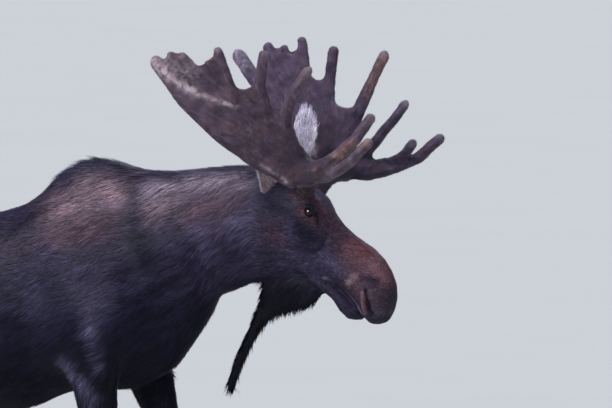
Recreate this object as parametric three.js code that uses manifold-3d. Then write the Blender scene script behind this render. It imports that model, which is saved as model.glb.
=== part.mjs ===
// A bull moose in summer coat, with antlers in velvet: head carried low, one foreleg a step ahead.
// Millimetres. +X is the way the moose faces, +Y its left, +Z up, and the ground is z = 0.
// Until the last lines x is measured from the highest point of the withers.
import * as THREE from "three";
import { TessellateModifier } from "three/addons/modifiers/TessellateModifier.js";
import { mergeVertices } from "three/addons/utils/BufferGeometryUtils.js";
import Module from "manifold-3d";

const wasm = await Module();
wasm.setup();

// ---- driving dimensions ----
const GAP = 0.4; // clearance left between two parts that meet
const TORSO_SIDES = 16;
const HEAD_SIDES = 16;
const JAW_SIDES = 12;
const LEG_SIDES = 10;
const BEAM_SIDES = 10;
const TINE_SIDES = 6;
const TORSO_STEP = 200; // greatest distance between two sections
const HEAD_STEP = 70;
const LEG_STEP = 130;
const HANGING_STEP = 90;
const TINE_STEP = 0.2; // share of a rib's length
const EYE_SIDES = { around: 10, down: 8 };

// Tables of sections: [station, upper edge, lower edge, half width, height of the widest place, upper
// roundness, lower roundness]. A roundness of 2 is an ellipse, less is a ridge and more is square.
const TORSO = [
  [-1375, 1440, 1350, 26, 1400, 2, 2],
  [-1345, 1520, 1250, 92, 1390, 2, 2],
  [-1280, 1598, 1160, 152, 1380, 2, 2],
  [-1180, 1655, 1090, 204, 1370, 2, 2],
  [-1050, 1684, 1030, 240, 1350, 1.9, 2],
  [-850, 1684, 950, 275, 1330, 1.9, 2.1],
  [-650, 1668, 868, 310, 1300, 1.9, 2.2],
  [-440, 1676, 824, 318, 1290, 1.8, 2.2],
  [-330, 1712, 838, 312, 1290, 1.7, 2.1],
  [-260, 1762, 862, 305, 1290, 1.6, 2.1],
  [-170, 1842, 902, 295, 1285, 1.5, 2],
  [-80, 1889, 926, 286, 1280, 1.45, 2],
  [0, 1900, 925, 280, 1280, 1.45, 1.9],
  [100, 1884, 928, 268, 1290, 1.5, 1.8],
  [170, 1862, 936, 254, 1310, 1.6, 1.8],
  [250, 1852, 978, 232, 1350, 1.7, 1.9],
  [330, 1851, 1028, 208, 1400, 1.8, 2],
  [400, 1856, 1120, 186, 1460, 1.9, 2],
  [470, 1864, 1222, 168, 1530, 1.9, 2],
  [530, 1872, 1328, 156, 1590, 1.9, 2],
  [620, 1884, 1362, 142, 1620, 1.9, 2],
  [700, 1884, 1390, 130, 1640, 1.9, 2],
  [780, 1850, 1408, 116, 1640, 2, 2],
  [850, 1780, 1432, 92, 1610, 2, 2],
  [900, 1690, 1470, 50, 1580, 2, 2],
];
const NECK_CUT = { top: [190, 1860], foot: [500, 1290] }; // from before the withers to the breast
const HEAD_CUT = { top: [738, 1900], foot: [722, 1380] }; // behind the ears and the jaw

// The head has its own axis, from the poll to the nose, pitched down in front.
const HEAD_PITCH = THREE.MathUtils.degToRad(43);
const HEAD_POLL = new THREE.Vector3(760, 0, 1780);
const HEAD = [
  [-60, 40, -100, 62, -30, 2, 2],
  [-20, 84, -158, 96, -20, 2, 2],
  [30, 112, -192, 112, -10, 2.2, 1.9],
  [90, 130, -204, 118, 5, 2.4, 1.8],
  [145, 138, -206, 122, 30, 2.6, 1.8],
  [200, 130, -201, 123, 45, 2.5, 1.8],
  [265, 116, -192, 104, 20, 2.2, 1.8],
  [330, 110, -181, 88, -10, 2.1, 1.8],
  [395, 114, -160, 79, -15, 2.1, 1.9],
  [440, 122, -118, 77, 0, 2.2, 2.1],
  [485, 130, -90, 79, 10, 2.3, 2.3],
  [545, 128, -86, 84, 5, 2.3, 2.4],
  [600, 113, -86, 89, -5, 2.3, 2.4],
  [650, 88, -104, 86, -15, 2.3, 2.4],
  [690, 50, -104, 75, -25, 2.2, 2.2],
  [715, 12, -84, 54, -35, 2, 2],
  [731, -28, -56, 18, -42, 2, 2],
];
const JAW = [
  [335, -120, -160, 36, -140, 2, 2],
  [385, -98, -168, 48, -130, 2, 1.9],
  [440, -88, -154, 50, -120, 2, 1.9],
  [500, -88, -146, 50, -116, 2, 2],
  [560, -88, -160, 53, -118, 2, 2],
  [605, -89, -158, 49, -118, 2, 2],
  [632, -92, -138, 38, -112, 2, 2],
  [648, -98, -118, 14, -108, 2, 2],
];

const EYE_RADIUS = 21;
const EYE = { along: 200, side: 100, up: 71 };

// Legs, from the shoulder blade or the hip down to the hoof's top edge: [height, centre x from the
// hoof, centre y, reach forward, reach back, half width].
const FORELEG = [
  [1610, -60, 120, 60, 60, 26],
  [1480, -30, 160, 112, 112, 58],
  [1330, 5, 188, 165, 150, 92],
  [1180, 10, 190, 170, 152, 104],
  [1060, -5, 184, 136, 136, 92],
  [960, -5, 176, 110, 110, 78],
  [870, 0, 170, 92, 92, 66],
  [760, 2, 162, 70, 68, 54],
  [640, 4, 155, 53, 52, 45],
  [560, 6, 152, 49, 47, 43],
  [505, 8, 151, 51, 45, 45],
  [440, 3, 150, 38, 39, 36],
  [340, 0, 150, 30, 34, 29],
  [250, 0, 150, 30, 35, 29],
  [190, 1, 150, 38, 46, 37],
  [140, 9, 150, 34, 38, 34],
  [105, 19, 150, 42, 42, 41],
  [86, 26, 150, 52, 46, 46],
];
const HIND_LEG = [
  [1570, 10, 110, 110, 100, 36],
  [1450, 10, 145, 180, 170, 78],
  [1320, 5, 160, 222, 200, 106],
  [1200, 0, 164, 218, 192, 114],
  [1100, 5, 165, 190, 166, 104],
  [1000, -5, 164, 150, 132, 86],
  [900, -30, 160, 112, 96, 67],
  [800, -60, 156, 84, 70, 53],
  [720, -85, 153, 66, 60, 45],
  [655, -96, 151, 56, 70, 43],
  [600, -94, 150, 50, 64, 43],
  [540, -86, 150, 43, 47, 39],
  [450, -73, 150, 34, 39, 33],
  [350, -62, 150, 31, 36, 30],
  [250, -52, 150, 31, 36, 30],
  [190, -42, 150, 39, 47, 37],
  [140, -27, 150, 35, 39, 34],
  [105, -12, 150, 42, 42, 41],
  [86, -4, 150, 52, 46, 46],
];
const FORE_X = 45; // the hoofs' places when a leg stands straight
const HIND_X = -1120;
const FORE_CUT = 1010; // the leg parts from the trunk at this height
const HIND_CUT = 1090;
// A leg swings from its shoulder or hip, and less below its knee or hock.
const LEGS = [
  { name: "front_right", side: -1, table: FORELEG, x: FORE_X, cut: FORE_CUT, knee: 540, swing: 0 },
  { name: "front_left", side: 1, table: FORELEG, x: FORE_X, cut: FORE_CUT, knee: 540, swing: 0.32 },
  { name: "hind_right", side: -1, table: HIND_LEG, x: HIND_X, cut: HIND_CUT, knee: 575, swing: -0.12 },
  { name: "hind_left", side: 1, table: HIND_LEG, x: HIND_X, cut: HIND_CUT, knee: 575, swing: 0.1 },
];
const SWING_TOP = 1300;
const LOWER_SWING = 0.4; // share of the swing that the cannon keeps

// Half of a cloven hoof: `splay` is how far it stands from the leg's middle, `toeIn` its turn.
const HOOF = { length: 152, width: 58, height: 85.6, splay: 31, ahead: 24, toeIn: 0.05 };
const DEWCLAW = { length: 52, radius: 14, height: 142, lean: 14, apart: 22 };

const EARS = [
  { name: "ear_right", root: [790, -88, 1785], tip: [780, -222, 2046], faces: [0.6, -0.8, 0], base: 0.8 },
  { name: "ear_left", root: [812, 86, 1795], tip: [850, 142, 2114], faces: [0.25, 0.97, 0], base: 0.55 },
];
// An ear is widest at the share `fullAt` of its length, and its base is `base` of that width.
const EAR = { halfWidth: 62, cup: 36, wall: 9, cupFrom: 0.3, fullAt: 0.66 };

// The bell, or dewlap: [height, centre x, half length along x, half thickness].
const BELL = [
  [1450, 870, 150, 40],
  [1400, 862, 155, 44],
  [1345, 846, 147, 40],
  [1312, 812, 124, 34],
  [1293, 768, 88, 31],
  [1268, 722, 48, 28],
  [1215, 688, 30, 25],
  [1150, 652, 27, 23],
  [1088, 620, 26, 22],
  [1022, 596, 23, 20],
  [976, 578, 23, 17],
  [955, 588, 10, 8],
];

const TAIL = [
  [1525, -1318, 40, 26],
  [1490, -1358, 32, 27],
  [1440, -1385, 24, 25],
  [1395, -1396, 18, 18],
  [1370, -1396, 8, 8],
];

// Antlers: every tine is the free end of a rib that leaves the end of the beam and bows, in the side view,
// towards [x, z] on its way to the tine's tip. A palm joins each rib to the next as far as `web` of their
// length. y is outward. The palm's rear rib has its own `start` and `root` radius, below the beam's end.
const BEAM = {
  root: [908, 40, 1722],
  elbow: [925, 105, 1866],
  end: [992, 236, 1866],
  radius: 46,
  endRadius: 62,
};
const ANTLERS = [
  {
    name: "antler_right",
    side: -1,
    palm: [
      { tip: [422, 501, 2345], bow: [629, 2005], radius: 32, web: 0.95, start: [958, 1820], root: 30 },
      { tip: [499, 546, 2362], bow: [690, 2120], radius: 23, web: 0.98 },
      { tip: [546, 546, 2359], bow: [725, 2125], radius: 23, web: 0.92 },
      { tip: [660, 521, 2333], bow: [725, 2130], radius: 18, web: 0.94 },
      { tip: [706, 505, 2387], bow: [700, 2105], radius: 23, web: 0.7 },
      { tip: [887, 427, 2374], bow: [792, 2165], radius: 26, web: 0.5 },
      { tip: [1086, 429, 2305], bow: [860, 2080], radius: 25 },
    ],
    brow: [
      { tip: [1276, 217, 2113], bow: [1187, 1890], radius: 25, web: 0.4 },
      { tip: [1340, 422, 2017], bow: [1195, 1820], radius: 23 },
    ],
  },
  {
    name: "antler_left",
    side: 1,
    palm: [
      { tip: [404, 500, 2338], bow: [661, 1990], radius: 32, web: 0.88, start: [958, 1820], root: 30 },
      { tip: [534, 541, 2366], bow: [690, 2100], radius: 26, web: 0.97 },
      { tip: [616, 521, 2360], bow: [728, 2104], radius: 21, web: 0.94 },
      { tip: [705, 500, 2395], bow: [720, 2150], radius: 22, web: 0.72 },
      { tip: [876, 428, 2362], bow: [805, 2110], radius: 24, web: 0.56 },
      { tip: [1102, 439, 2345], bow: [945, 2046], radius: 26 },
    ],
    brow: [
      { tip: [1274, 219, 2147], bow: [1105, 1940], radius: 22, web: 0.22 },
      { tip: [1269, 298, 1979], bow: [1173, 1838], radius: 23, web: 0.74 },
      { tip: [1354, 432, 1999], bow: [1172, 1782], radius: 25 },
    ],
  },
];
// A palm's sheet bows outward from the beam's end to y `rim` at a distance of `span` in the side view:
// [at its first tine, at its last].
const PALM_SHEET = { rim: [505, 480], span: 720 };
const BROW_SHEET = { rim: [300, 440], span: 400 };
const TINE_FLARE = 1.3; // a tine's radius where it leaves the palm, against that of its tip
const PALM_BOW = 1.6; // 1 is straight from the beam to the rim
const PALM_HALF_THICKNESS = 14;
const PALM_MESH = 165; // longest edge of the sheet's faces
// The palm's edge between two ribs: [place from one to the other, share of the web].
const PALM_EDGE = [[0, 1], [0.28, 0.96], [0.5, 0.945], [0.72, 0.96], [1, 1]];
const ANTLER_BASE_CUT = 0.5; // the beam's own solid ends this far along it
const BROW_AHEAD = [0.87, 0, -0.5]; // the way from the main palm to the brow palm

const COAT = new THREE.MeshStandardMaterial({ color: 0x2b2326, roughness: 0.75, metalness: 0 });
const BELL_HAIR = new THREE.MeshStandardMaterial({ color: 0x15141a, roughness: 0.85, metalness: 0 });
const VELVET = new THREE.MeshStandardMaterial({ color: 0x4a3a38, roughness: 0.9, metalness: 0 });
const HORN = new THREE.MeshStandardMaterial({ color: 0x1d1a1a, roughness: 0.5, metalness: 0 });
const CORNEA = new THREE.MeshStandardMaterial({ color: 0x120c0a, roughness: 0.08, metalness: 0 });

// ---- shapes ----

// Reads a table of sections at any station, smoothly between its rows.
function reader(table) {
  const width = table[0].length - 1;
  const rows = table[0][0] < table[1][0] ? table : [...table].reverse();
  const values = rows.flatMap((row) => row.slice(1));
  const spline = new THREE.CubicInterpolant(rows.map((row) => row[0]), values, width);
  return (station) => Array.from(spline.evaluate(station));
}

// The table's stations, with more between them where two are over `step` apart.
function stations(table, step) {
  const places = table.map((row) => row[0]);
  return places.flatMap((place, i) => {
    if (i === 0) return [place];
    const from = places[i - 1];
    const count = Math.ceil(Math.abs(place - from) / step);
    return Array.from({ length: count }, (_, k) => THREE.MathUtils.lerp(from, place, (k + 1) / count));
  });
}

// A round section as [across, up] pairs, with its own roundness above and below its widest place.
function oval(sides, halfWidth, above, below, roundAbove = 2, roundBelow = 2) {
  const bend = (value, roundness) => Math.sign(value) * Math.abs(value) ** (2 / roundness);
  return Array.from({ length: sides }, (_, k) => {
    const turn = (2 * Math.PI * k) / sides;
    const roundness = Math.cos(turn) >= 0 ? roundAbove : roundBelow;
    const up = bend(Math.cos(turn), roundness);
    return [halfWidth * bend(Math.sin(turn), roundness), up * (up >= 0 ? above : below)];
  });
}

// Signed volume of an indexed mesh, to tell which way its faces point.
function signedVolume(points, faces) {
  const [a, b, c] = [0, 1, 2].map(() => new THREE.Vector3());
  let volume = 0;
  for (let i = 0; i < faces.length; i += 3) {
    a.copy(points[faces[i]]);
    b.copy(points[faces[i + 1]]);
    c.copy(points[faces[i + 2]]);
    volume += a.dot(b.cross(c)) / 6;
  }
  return volume;
}

// One closed skin over rings of points, with a fan over each end.
function loft(rings) {
  const sides = rings[0].length;
  const centre = (ring) => ring.reduce((sum, p) => sum.add(p), new THREE.Vector3()).divideScalar(sides);
  const points = [...rings.flat(), centre(rings[0]), centre(rings.at(-1))];
  const [start, end] = [points.length - 2, points.length - 1];
  const faces = [];
  for (let k = 0; k < sides; k += 1) {
    const next = (k + 1) % sides;
    for (let r = 0; r + 1 < rings.length; r += 1) {
      const [a, b, c, d] = [r * sides + k, r * sides + next, (r + 1) * sides + next, (r + 1) * sides + k];
      faces.push(a, b, c, a, c, d);
    }
    const last = (rings.length - 1) * sides;
    faces.push(start, next, k, end, last + k, last + next);
  }
  if (signedVolume(points, faces) < 0) faces.reverse();
  return new THREE.BufferGeometry().setFromPoints(points).setIndex(faces);
}

function solid(geometry) {
  const bare = geometry.clone();
  bare.deleteAttribute("normal");
  bare.deleteAttribute("uv");
  const merged = mergeVertices(bare, 1e-3);
  const vertProperties = merged.attributes.position.array;
  const triVerts = new Uint32Array(merged.index.array);
  return new wasm.Manifold(new wasm.Mesh({ numProp: 3, vertProperties, triVerts }));
}

function meshOf(name, made, material) {
  const { vertProperties, triVerts } = made.getMesh();
  const geometry = new THREE.BufferGeometry();
  geometry.setAttribute("position", new THREE.BufferAttribute(vertProperties, 3));
  geometry.setIndex(new THREE.BufferAttribute(triVerts, 1));
  const mesh = new THREE.Mesh(geometry, material);
  mesh.name = name;
  return mesh;
}

// Keeps what lies on the side of a plane that `normal` points to, `gap` clear of it.
function keep(made, normal, point, gap = 0) {
  const unit = normal.clone().normalize();
  return made.trimByPlane(unit.toArray(), unit.dot(point) + gap);
}

// The largest body left when a cut leaves slivers beside it.
function largest(made) {
  return made.decompose().reduce((best, piece) => (piece.volume() > best.volume() ? piece : best));
}

// The normal, pointing forward, and a point of a cut that shows as a line in the side view.
function sideCut({ top, foot }) {
  const normal = new THREE.Vector3(top[1] - foot[1], 0, foot[0] - top[0]);
  return [normal, new THREE.Vector3(top[0], 0, top[1])];
}

// A tube round a curve, from rows of [share of the curve's length, radius].
function tube(curve, rows, sides, reference) {
  const rings = rows.map(([share, radius]) => {
    const place = Math.min(share, 1);
    const ahead = curve.getTangent(place);
    const across = new THREE.Vector3().crossVectors(ahead, reference).normalize();
    const up = new THREE.Vector3().crossVectors(across, ahead);
    const centre = curve.getPoint(place);
    return oval(sides, radius, radius, radius).map(([x, y]) =>
      centre.clone().addScaledVector(across, x).addScaledVector(up, y));
  });
  return loft(rings);
}

// ---- the body ----

// A skin over a table of sections; `place` puts a section's point (station, across, up) in the part.
function sectionLoft(table, sides, step, grow, place) {
  const at = reader(table);
  const rings = stations(table, step).map((station) => {
    const [top, bottom, halfWidth, widest, roundAbove, roundBelow] = at(station);
    const [above, below] = [top - widest + grow, widest - bottom + grow];
    const section = oval(sides, halfWidth + grow, above, below, roundAbove, roundBelow);
    return section.map(([across, up]) => place(station, across, widest + up));
  });
  return solid(loft(rings));
}

function torso(grow = 0) {
  return sectionLoft(TORSO, TORSO_SIDES, TORSO_STEP, grow, (x, y, z) => new THREE.Vector3(x, y, z));
}

function onHead(along, side, up) {
  const [cos, sin] = [Math.cos(HEAD_PITCH), Math.sin(HEAD_PITCH)];
  return new THREE.Vector3(along * cos + up * sin, side, up * cos - along * sin).add(HEAD_POLL);
}

const skullLoft = (grow = 0) => sectionLoft(HEAD, HEAD_SIDES, HEAD_STEP, grow, onHead);
const jawLoft = (grow = 0) => sectionLoft(JAW, JAW_SIDES, HEAD_STEP, grow, onHead);

// How far forward a swung leg is at a height.
function reach(leg, height) {
  const above = Math.min(Math.max(SWING_TOP - height, 0), SWING_TOP - leg.knee);
  const below = Math.max(leg.knee - height, 0);
  return leg.swing * (above + LOWER_SWING * below);
}

function legLoft(leg, grow = 0) {
  const at = reader(leg.table);
  const rings = stations(leg.table, LEG_STEP).map((height) => {
    const [x, y, forward, back, halfWidth] = at(height);
    const centre = new THREE.Vector3(leg.x + x + reach(leg, height), leg.side * y, height);
    return oval(LEG_SIDES, halfWidth + grow, forward + grow, back + grow).map(([across, ahead]) =>
      new THREE.Vector3(ahead, across, 0).add(centre));
  });
  return solid(loft(rings));
}

// A flattened hanging shape, from rows of [height, centre x, half length, half thickness].
function hanging(table, sides) {
  const at = reader(table);
  const rings = stations(table, HANGING_STEP).map((height) => {
    const [x, halfLength, halfThickness] = at(height);
    return oval(sides, halfThickness, halfLength, halfLength).map(([across, ahead]) =>
      new THREE.Vector3(x + ahead, across, height));
  });
  return solid(loft(rings));
}

// A leaf that is hollow on the side it faces: each section is an outer arc and an inner arc.
function ear({ root, tip, faces, base }) {
  const axis = new THREE.Vector3(...tip).sub(new THREE.Vector3(...root));
  const face = new THREE.Vector3(...faces).projectOnPlane(axis.clone().normalize()).normalize();
  const across = new THREE.Vector3().crossVectors(axis, face).normalize();
  const shares = [0, 0.22, 0.45, EAR.fullAt, 0.84, 0.95, 1]; // of the way from root to tip
  const arc = [-1, -0.6, 0, 0.6, 1]; // from one edge to the other
  const rings = shares.map((share) => {
    const rise = THREE.MathUtils.lerp(base, 1, THREE.MathUtils.smoothstep(share, 0, EAR.fullAt));
    const beyond = Math.max(share - EAR.fullAt, 0) / (1.06 - EAR.fullAt);
    const leaf = rise * (1 - beyond ** 2) ** 0.75;
    const halfWidth = EAR.halfWidth * leaf;
    const cup = EAR.cup * leaf * THREE.MathUtils.smoothstep(share, 0, EAR.cupFrom); // its root is flat
    const centre = new THREE.Vector3(...root).addScaledVector(axis, share);
    const point = (s, depth) =>
      centre.clone().addScaledVector(across, halfWidth * s).addScaledVector(face, cup * s * s - depth);
    return [...arc.map((s) => point(s, EAR.wall)), ...arc.toReversed().map((s) => point(s, 0))];
  });
  return solid(loft(rings));
}

// ---- hoofs ----

// A pointed sole, flat on the ground, under a smaller top edge. Rows of [height, size, place along x].
function hoofGeometry() {
  const rows = [
    [0, 1, 0],
    [HOOF.height * 0.5, 0.88, -6],
    [HOOF.height, 0.7, -14],
  ];
  const sides = 10;
  const rings = rows.map(([height, size, shift]) =>
    Array.from({ length: sides }, (_, k) => {
      const turn = (2 * Math.PI * k) / sides;
      const ahead = (HOOF.length / 2) * size * Math.cos(turn);
      const taper = 1 - 0.42 * Math.max(Math.cos(turn), 0) ** 2; // narrower at the toe
      const across = (HOOF.width / 2) * Math.sqrt(size) * taper * Math.sin(turn);
      return new THREE.Vector3(ahead + shift, across, height);
    }));
  return loft(rings);
}

// A blunt peg that leans back at its foot. Rows of [share of its length, share of its radius].
function dewclawGeometry() {
  const sides = 6;
  const rows = [
    [0, 0.4],
    [0.45, 1],
    [1, 0.8],
  ];
  const rings = rows.map(([share, size]) => {
    const radius = DEWCLAW.radius * size;
    return oval(sides, radius, radius, radius).map(([across, ahead]) =>
      new THREE.Vector3(ahead - (1 - share) * DEWCLAW.lean, across, (share - 0.5) * DEWCLAW.length));
  });
  return loft(rings);
}

function feet(leg) {
  const group = new THREE.Group();
  const grownLeg = legLoft(leg, GAP);
  const at = reader(leg.table);
  const footX = (height) => leg.x + at(height)[0] + reach(leg, height);
  const footY = leg.side * at(HOOF.height + GAP)[1];
  for (const [half, way] of [["outer", leg.side], ["inner", -leg.side]]) {
    const hoof = new THREE.Mesh(hoofGeometry(), HORN);
    hoof.name = `hoof_${leg.name}_${half}`;
    hoof.position.set(footX(leg.table.at(-1)[0]) + HOOF.ahead, footY + way * HOOF.splay, 0);
    hoof.rotation.z = -way * HOOF.toeIn;
    group.add(hoof);
    const clawX = footX(DEWCLAW.height) - at(DEWCLAW.height)[3];
    const placed = solid(dewclawGeometry()).translate([clawX, footY + way * DEWCLAW.apart, DEWCLAW.height]);
    group.add(meshOf(`dewclaw_${leg.name}_${half}`, placed.subtract(grownLeg), HORN));
  }
  return group;
}

// ---- antlers ----

const outward = (side, [x, y, z]) => new THREE.Vector3(x, side * y, z);

// The distance from the middle plane of a palm's sheet at a place in the side view.
function sheetAt(palm, x, z) {
  const [hubX, hubY, hubZ] = BEAM.end;
  const angleOf = (px, pz) => Math.atan2(pz - hubZ, hubX - px);
  const [start, end] = [palm.tines[0], palm.tines.at(-1)].map(({ tip }) => angleOf(tip[0], tip[2]));
  const turn = THREE.MathUtils.clamp((angleOf(x, z) - start) / (end - start), 0, 1);
  const far = Math.min(Math.hypot(x - hubX, z - hubZ) / palm.span, 1);
  return hubY + (THREE.MathUtils.lerp(palm.rim[0], palm.rim[1], turn) - hubY) * (1 - (1 - far) ** PALM_BOW);
}

// A rib lies in its palm's sheet, and past the web it leaves the sheet for its tip.
class Rib extends THREE.QuadraticBezierCurve3 {
  constructor(palm, tine) {
    const [startX, startZ] = tine.start ?? [BEAM.end[0], BEAM.end[2]];
    const [bowX, bowZ] = tine.bow;
    const tip = new THREE.Vector3(...tine.tip);
    super(new THREE.Vector3(startX, 0, startZ), new THREE.Vector3(bowX, 0, bowZ), tip);
    this.palm = palm;
    this.tine = tine;
  }

  getPoint(share, target = new THREE.Vector3()) {
    super.getPoint(share, target);
    const free = THREE.MathUtils.smoothstep(share, (this.tine.web ?? 0.4) - 0.2, 1.1);
    const onSheet = sheetAt(this.palm, target.x, target.z);
    target.y = THREE.MathUtils.lerp(onSheet, this.tine.tip[1], free);
    return target;
  }
}

// A rib's radius at a share of its length: thick at the beam, then a tine that tapers a little to its tip.
function ribRadius(tine, share) {
  const root = tine.root ?? BEAM.endRadius * 0.85;
  const free = tine.radius * THREE.MathUtils.lerp(TINE_FLARE, 1, share);
  return THREE.MathUtils.lerp(root, free, THREE.MathUtils.smoothstep(share, 0, 0.42));
}

// The part of a rib that stands clear of the palm, with a blunt round tip.
function tineGeometry(palm, tine, from) {
  const rib = new Rib(palm, tine);
  const blunt = tine.radius / rib.getLength();
  const count = Math.max(2, Math.round((1 - from) / TINE_STEP));
  const shaft = Array.from({ length: count }, (_, i) => {
    const share = THREE.MathUtils.lerp(from, 1 - blunt, i / (count - 1));
    return [share, ribRadius(tine, share)];
  });
  const tip = [[1 - 0.45 * blunt, 0.83 * tine.radius], [1 - 0.06 * blunt, 0.36 * tine.radius]];
  return tube(rib, [...shaft, ...tip], TINE_SIDES, new THREE.Vector3(0, 1, 0));
}

// A sheet cut to the palm's outline in the side view, with scallops between the tines, then bowed
// outward. It is thick at the beam.
function palmGeometry(palm) {
  const ribs = palm.tines.map((tine) => new Rib(palm, tine));
  const [hubX, , hubZ] = BEAM.end;
  const bar = (rib, reach) => [0.05, 0.3, 0.55, 0.8].map((part) => rib.getPoint(part * reach));
  const rim = palm.tines.slice(0, -1).flatMap((tine, i) => PALM_EDGE.map(([part, scallop]) => {
    const share = tine.web * scallop;
    return ribs[i].getPoint(share).lerp(ribs[i + 1].getPoint(share), part);
  }));
  const back = bar(ribs[0], palm.tines[0].web);
  const front = bar(ribs.at(-1), palm.tines.at(-2).web);
  const line = [...back, ...rim, ...front.reverse()];
  const outline = new THREE.Shape(line.map(({ x, z }) => new THREE.Vector2(x, z)));
  const flat = new THREE.ExtrudeGeometry(outline, { depth: 1, bevelEnabled: false });
  const sheet = new TessellateModifier(PALM_MESH, 12).modify(flat);
  const places = sheet.attributes.position;
  for (let i = 0; i < places.count; i += 1) {
    const [x, z, depth] = [places.getX(i), places.getY(i), places.getZ(i)];
    const away = Math.hypot(x - hubX, z - hubZ) / palm.span;
    const thin = THREE.MathUtils.smoothstep(away, 0, 0.5);
    const half = THREE.MathUtils.lerp(BEAM.endRadius * 0.75, PALM_HALF_THICKNESS, thin);
    places.setXYZ(i, x, sheetAt(palm, x, z) + half * (1 - 2 * depth), z);
  }
  return sheet;
}

function crownGeometries(palm) {
  const tines = palm.tines.map((tine, i) => {
    const atEdge = i === 0 || i === palm.tines.length - 1;
    return tineGeometry(palm, tine, atEdge ? 0 : Math.min(palm.tines[i - 1].web, tine.web) - 0.12);
  });
  return [palmGeometry(palm), ...tines];
}

function antler({ name, side, palm, brow }, skull) {
  const beamCurve = new THREE.QuadraticBezierCurve3(...[BEAM.root, BEAM.elbow, BEAM.end].map((place) =>
    new THREE.Vector3(...place)));
  const beamRows = [0, 0.25, 0.5, 0.75, 1].map((share) =>
    [share, THREE.MathUtils.lerp(BEAM.radius, BEAM.endRadius, share ** 2)]);
  const shapes = [
    tube(beamCurve, beamRows, BEAM_SIDES, new THREE.Vector3(1, 0, 0)),
    new THREE.IcosahedronGeometry(BEAM.endRadius, 1).translate(...BEAM.end),
    ...crownGeometries({ ...PALM_SHEET, tines: palm }),
    ...crownGeometries({ ...BROW_SHEET, tines: brow }),
  ];
  const made = wasm.Manifold.union(shapes.map(solid));
  const whole = largest((side > 0 ? made : made.mirror([0, 1, 0])).subtract(skull));

  for (const place of [beamCurve.v0, beamCurve.v1, beamCurve.v2]) place.y *= side;
  const alongBeam = beamCurve.getTangentAt(ANTLER_BASE_CUT);
  const baseCut = beamCurve.getPointAt(ANTLER_BASE_CUT);
  const crown = keep(whole, alongBeam, baseCut, GAP / 2);
  // The main fork: the brow palm lies ahead of this plane through the end of the beam.
  const split = outward(side, BEAM.end);
  const ahead = new THREE.Vector3(...BROW_AHEAD);
  return [
    meshOf(`${name}_beam`, keep(whole, alongBeam.clone().negate(), baseCut, GAP / 2), VELVET),
    meshOf(`${name}_palm`, keep(crown, ahead.clone().negate(), split, GAP / 2), VELVET),
    meshOf(`${name}_brow`, keep(crown, ahead, split, GAP / 2), VELVET),
  ];
}

// ---- assembly ----

const moose = new THREE.Group();

const legParts = LEGS.map((leg) => {
  const whole = legLoft(leg);
  const place = new THREE.Vector3(0, 0, leg.cut);
  const up = new THREE.Vector3(0, 0, 1);
  const down = up.clone().negate();
  const free = keep(whole, down, place, GAP / 2).subtract(torso(GAP));
  const knee = new THREE.Vector3(0, 0, leg.knee);
  return {
    leg,
    shoulder: keep(whole, up, place, GAP / 2),
    upper: keep(free, up, knee, GAP / 2),
    lower: keep(free, down, knee, GAP / 2),
  };
});

const skull = skullLoft();
const body = wasm.Manifold.union([torso(), skull, ...legParts.map(({ shoulder }) => shoulder)]);
const [neckForward, neckPlace] = sideCut(NECK_CUT);
const [headForward, headPlace] = sideCut(HEAD_CUT);
const eyePlaces = [-1, 1].map((side) => onHead(EYE.along, side * EYE.side, EYE.up));
const eyeball = (grow = 0) => new THREE.SphereGeometry(EYE_RADIUS + grow, EYE_SIDES.around, EYE_SIDES.down);
const sockets = eyePlaces.map((place) => solid(eyeball(GAP)).translate(place.toArray()));
const front = keep(body, neckForward, neckPlace, GAP / 2);

const trunk = keep(body, neckForward.clone().negate(), neckPlace, GAP / 2);
const neck = keep(front, headForward.clone().negate(), headPlace, GAP / 2);
const head = keep(front, headForward, headPlace, GAP / 2).subtract(wasm.Manifold.union(sockets));
moose.add(meshOf("trunk", trunk, COAT), meshOf("neck", neck, COAT), meshOf("head", head, COAT));

const grownHead = skullLoft(GAP);
const grownTorso = torso(GAP);
const jaw = jawLoft().subtract(grownHead);
moose.add(meshOf("lower_jaw", jaw, COAT));

const aboveBell = wasm.Manifold.union([grownHead, grownTorso, jawLoft(GAP)]);
const bell = hanging(BELL, 8).subtract(aboveBell);
moose.add(meshOf("bell", bell, BELL_HAIR));
moose.add(meshOf("tail", hanging(TAIL, 6).subtract(grownTorso), COAT));

for (const { leg, upper, lower } of legParts) {
  moose.add(meshOf(`leg_${leg.name}_upper`, upper, COAT), meshOf(`leg_${leg.name}_lower`, lower, COAT));
  moose.add(feet(leg));
}

eyePlaces.forEach((place, i) => {
  const eye = new THREE.Mesh(eyeball(), CORNEA);
  eye.name = i === 0 ? "eye_right" : "eye_left";
  eye.position.copy(place);
  moose.add(eye);
});

for (const shape of EARS) {
  moose.add(meshOf(shape.name, largest(ear(shape).subtract(grownHead).subtract(grownTorso)), COAT));
}
for (const shape of ANTLERS) moose.add(...antler(shape, grownHead));

// The part's origin is on the ground, under the middle of its outline.
const outline = new THREE.Box3().setFromObject(moose, true);
const middle = outline.getCenter(new THREE.Vector3());
moose.position.set(-middle.x, -middle.y, -outline.min.z);
const part = new THREE.Group();
part.add(moose);

export default part;
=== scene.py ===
"""A bull moose in summer coat, with antlers in velvet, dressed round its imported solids.

Metres. +X is the way the moose faces, +Y its left and +Z up. Places are worked out from the frame's
nodes. Colours are linear.
"""
from collections import namedtuple
from math import cos, pi, radians, sin

import bmesh
import bpy
import numpy as np
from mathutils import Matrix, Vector
from mathutils.bvhtree import BVHTree


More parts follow.
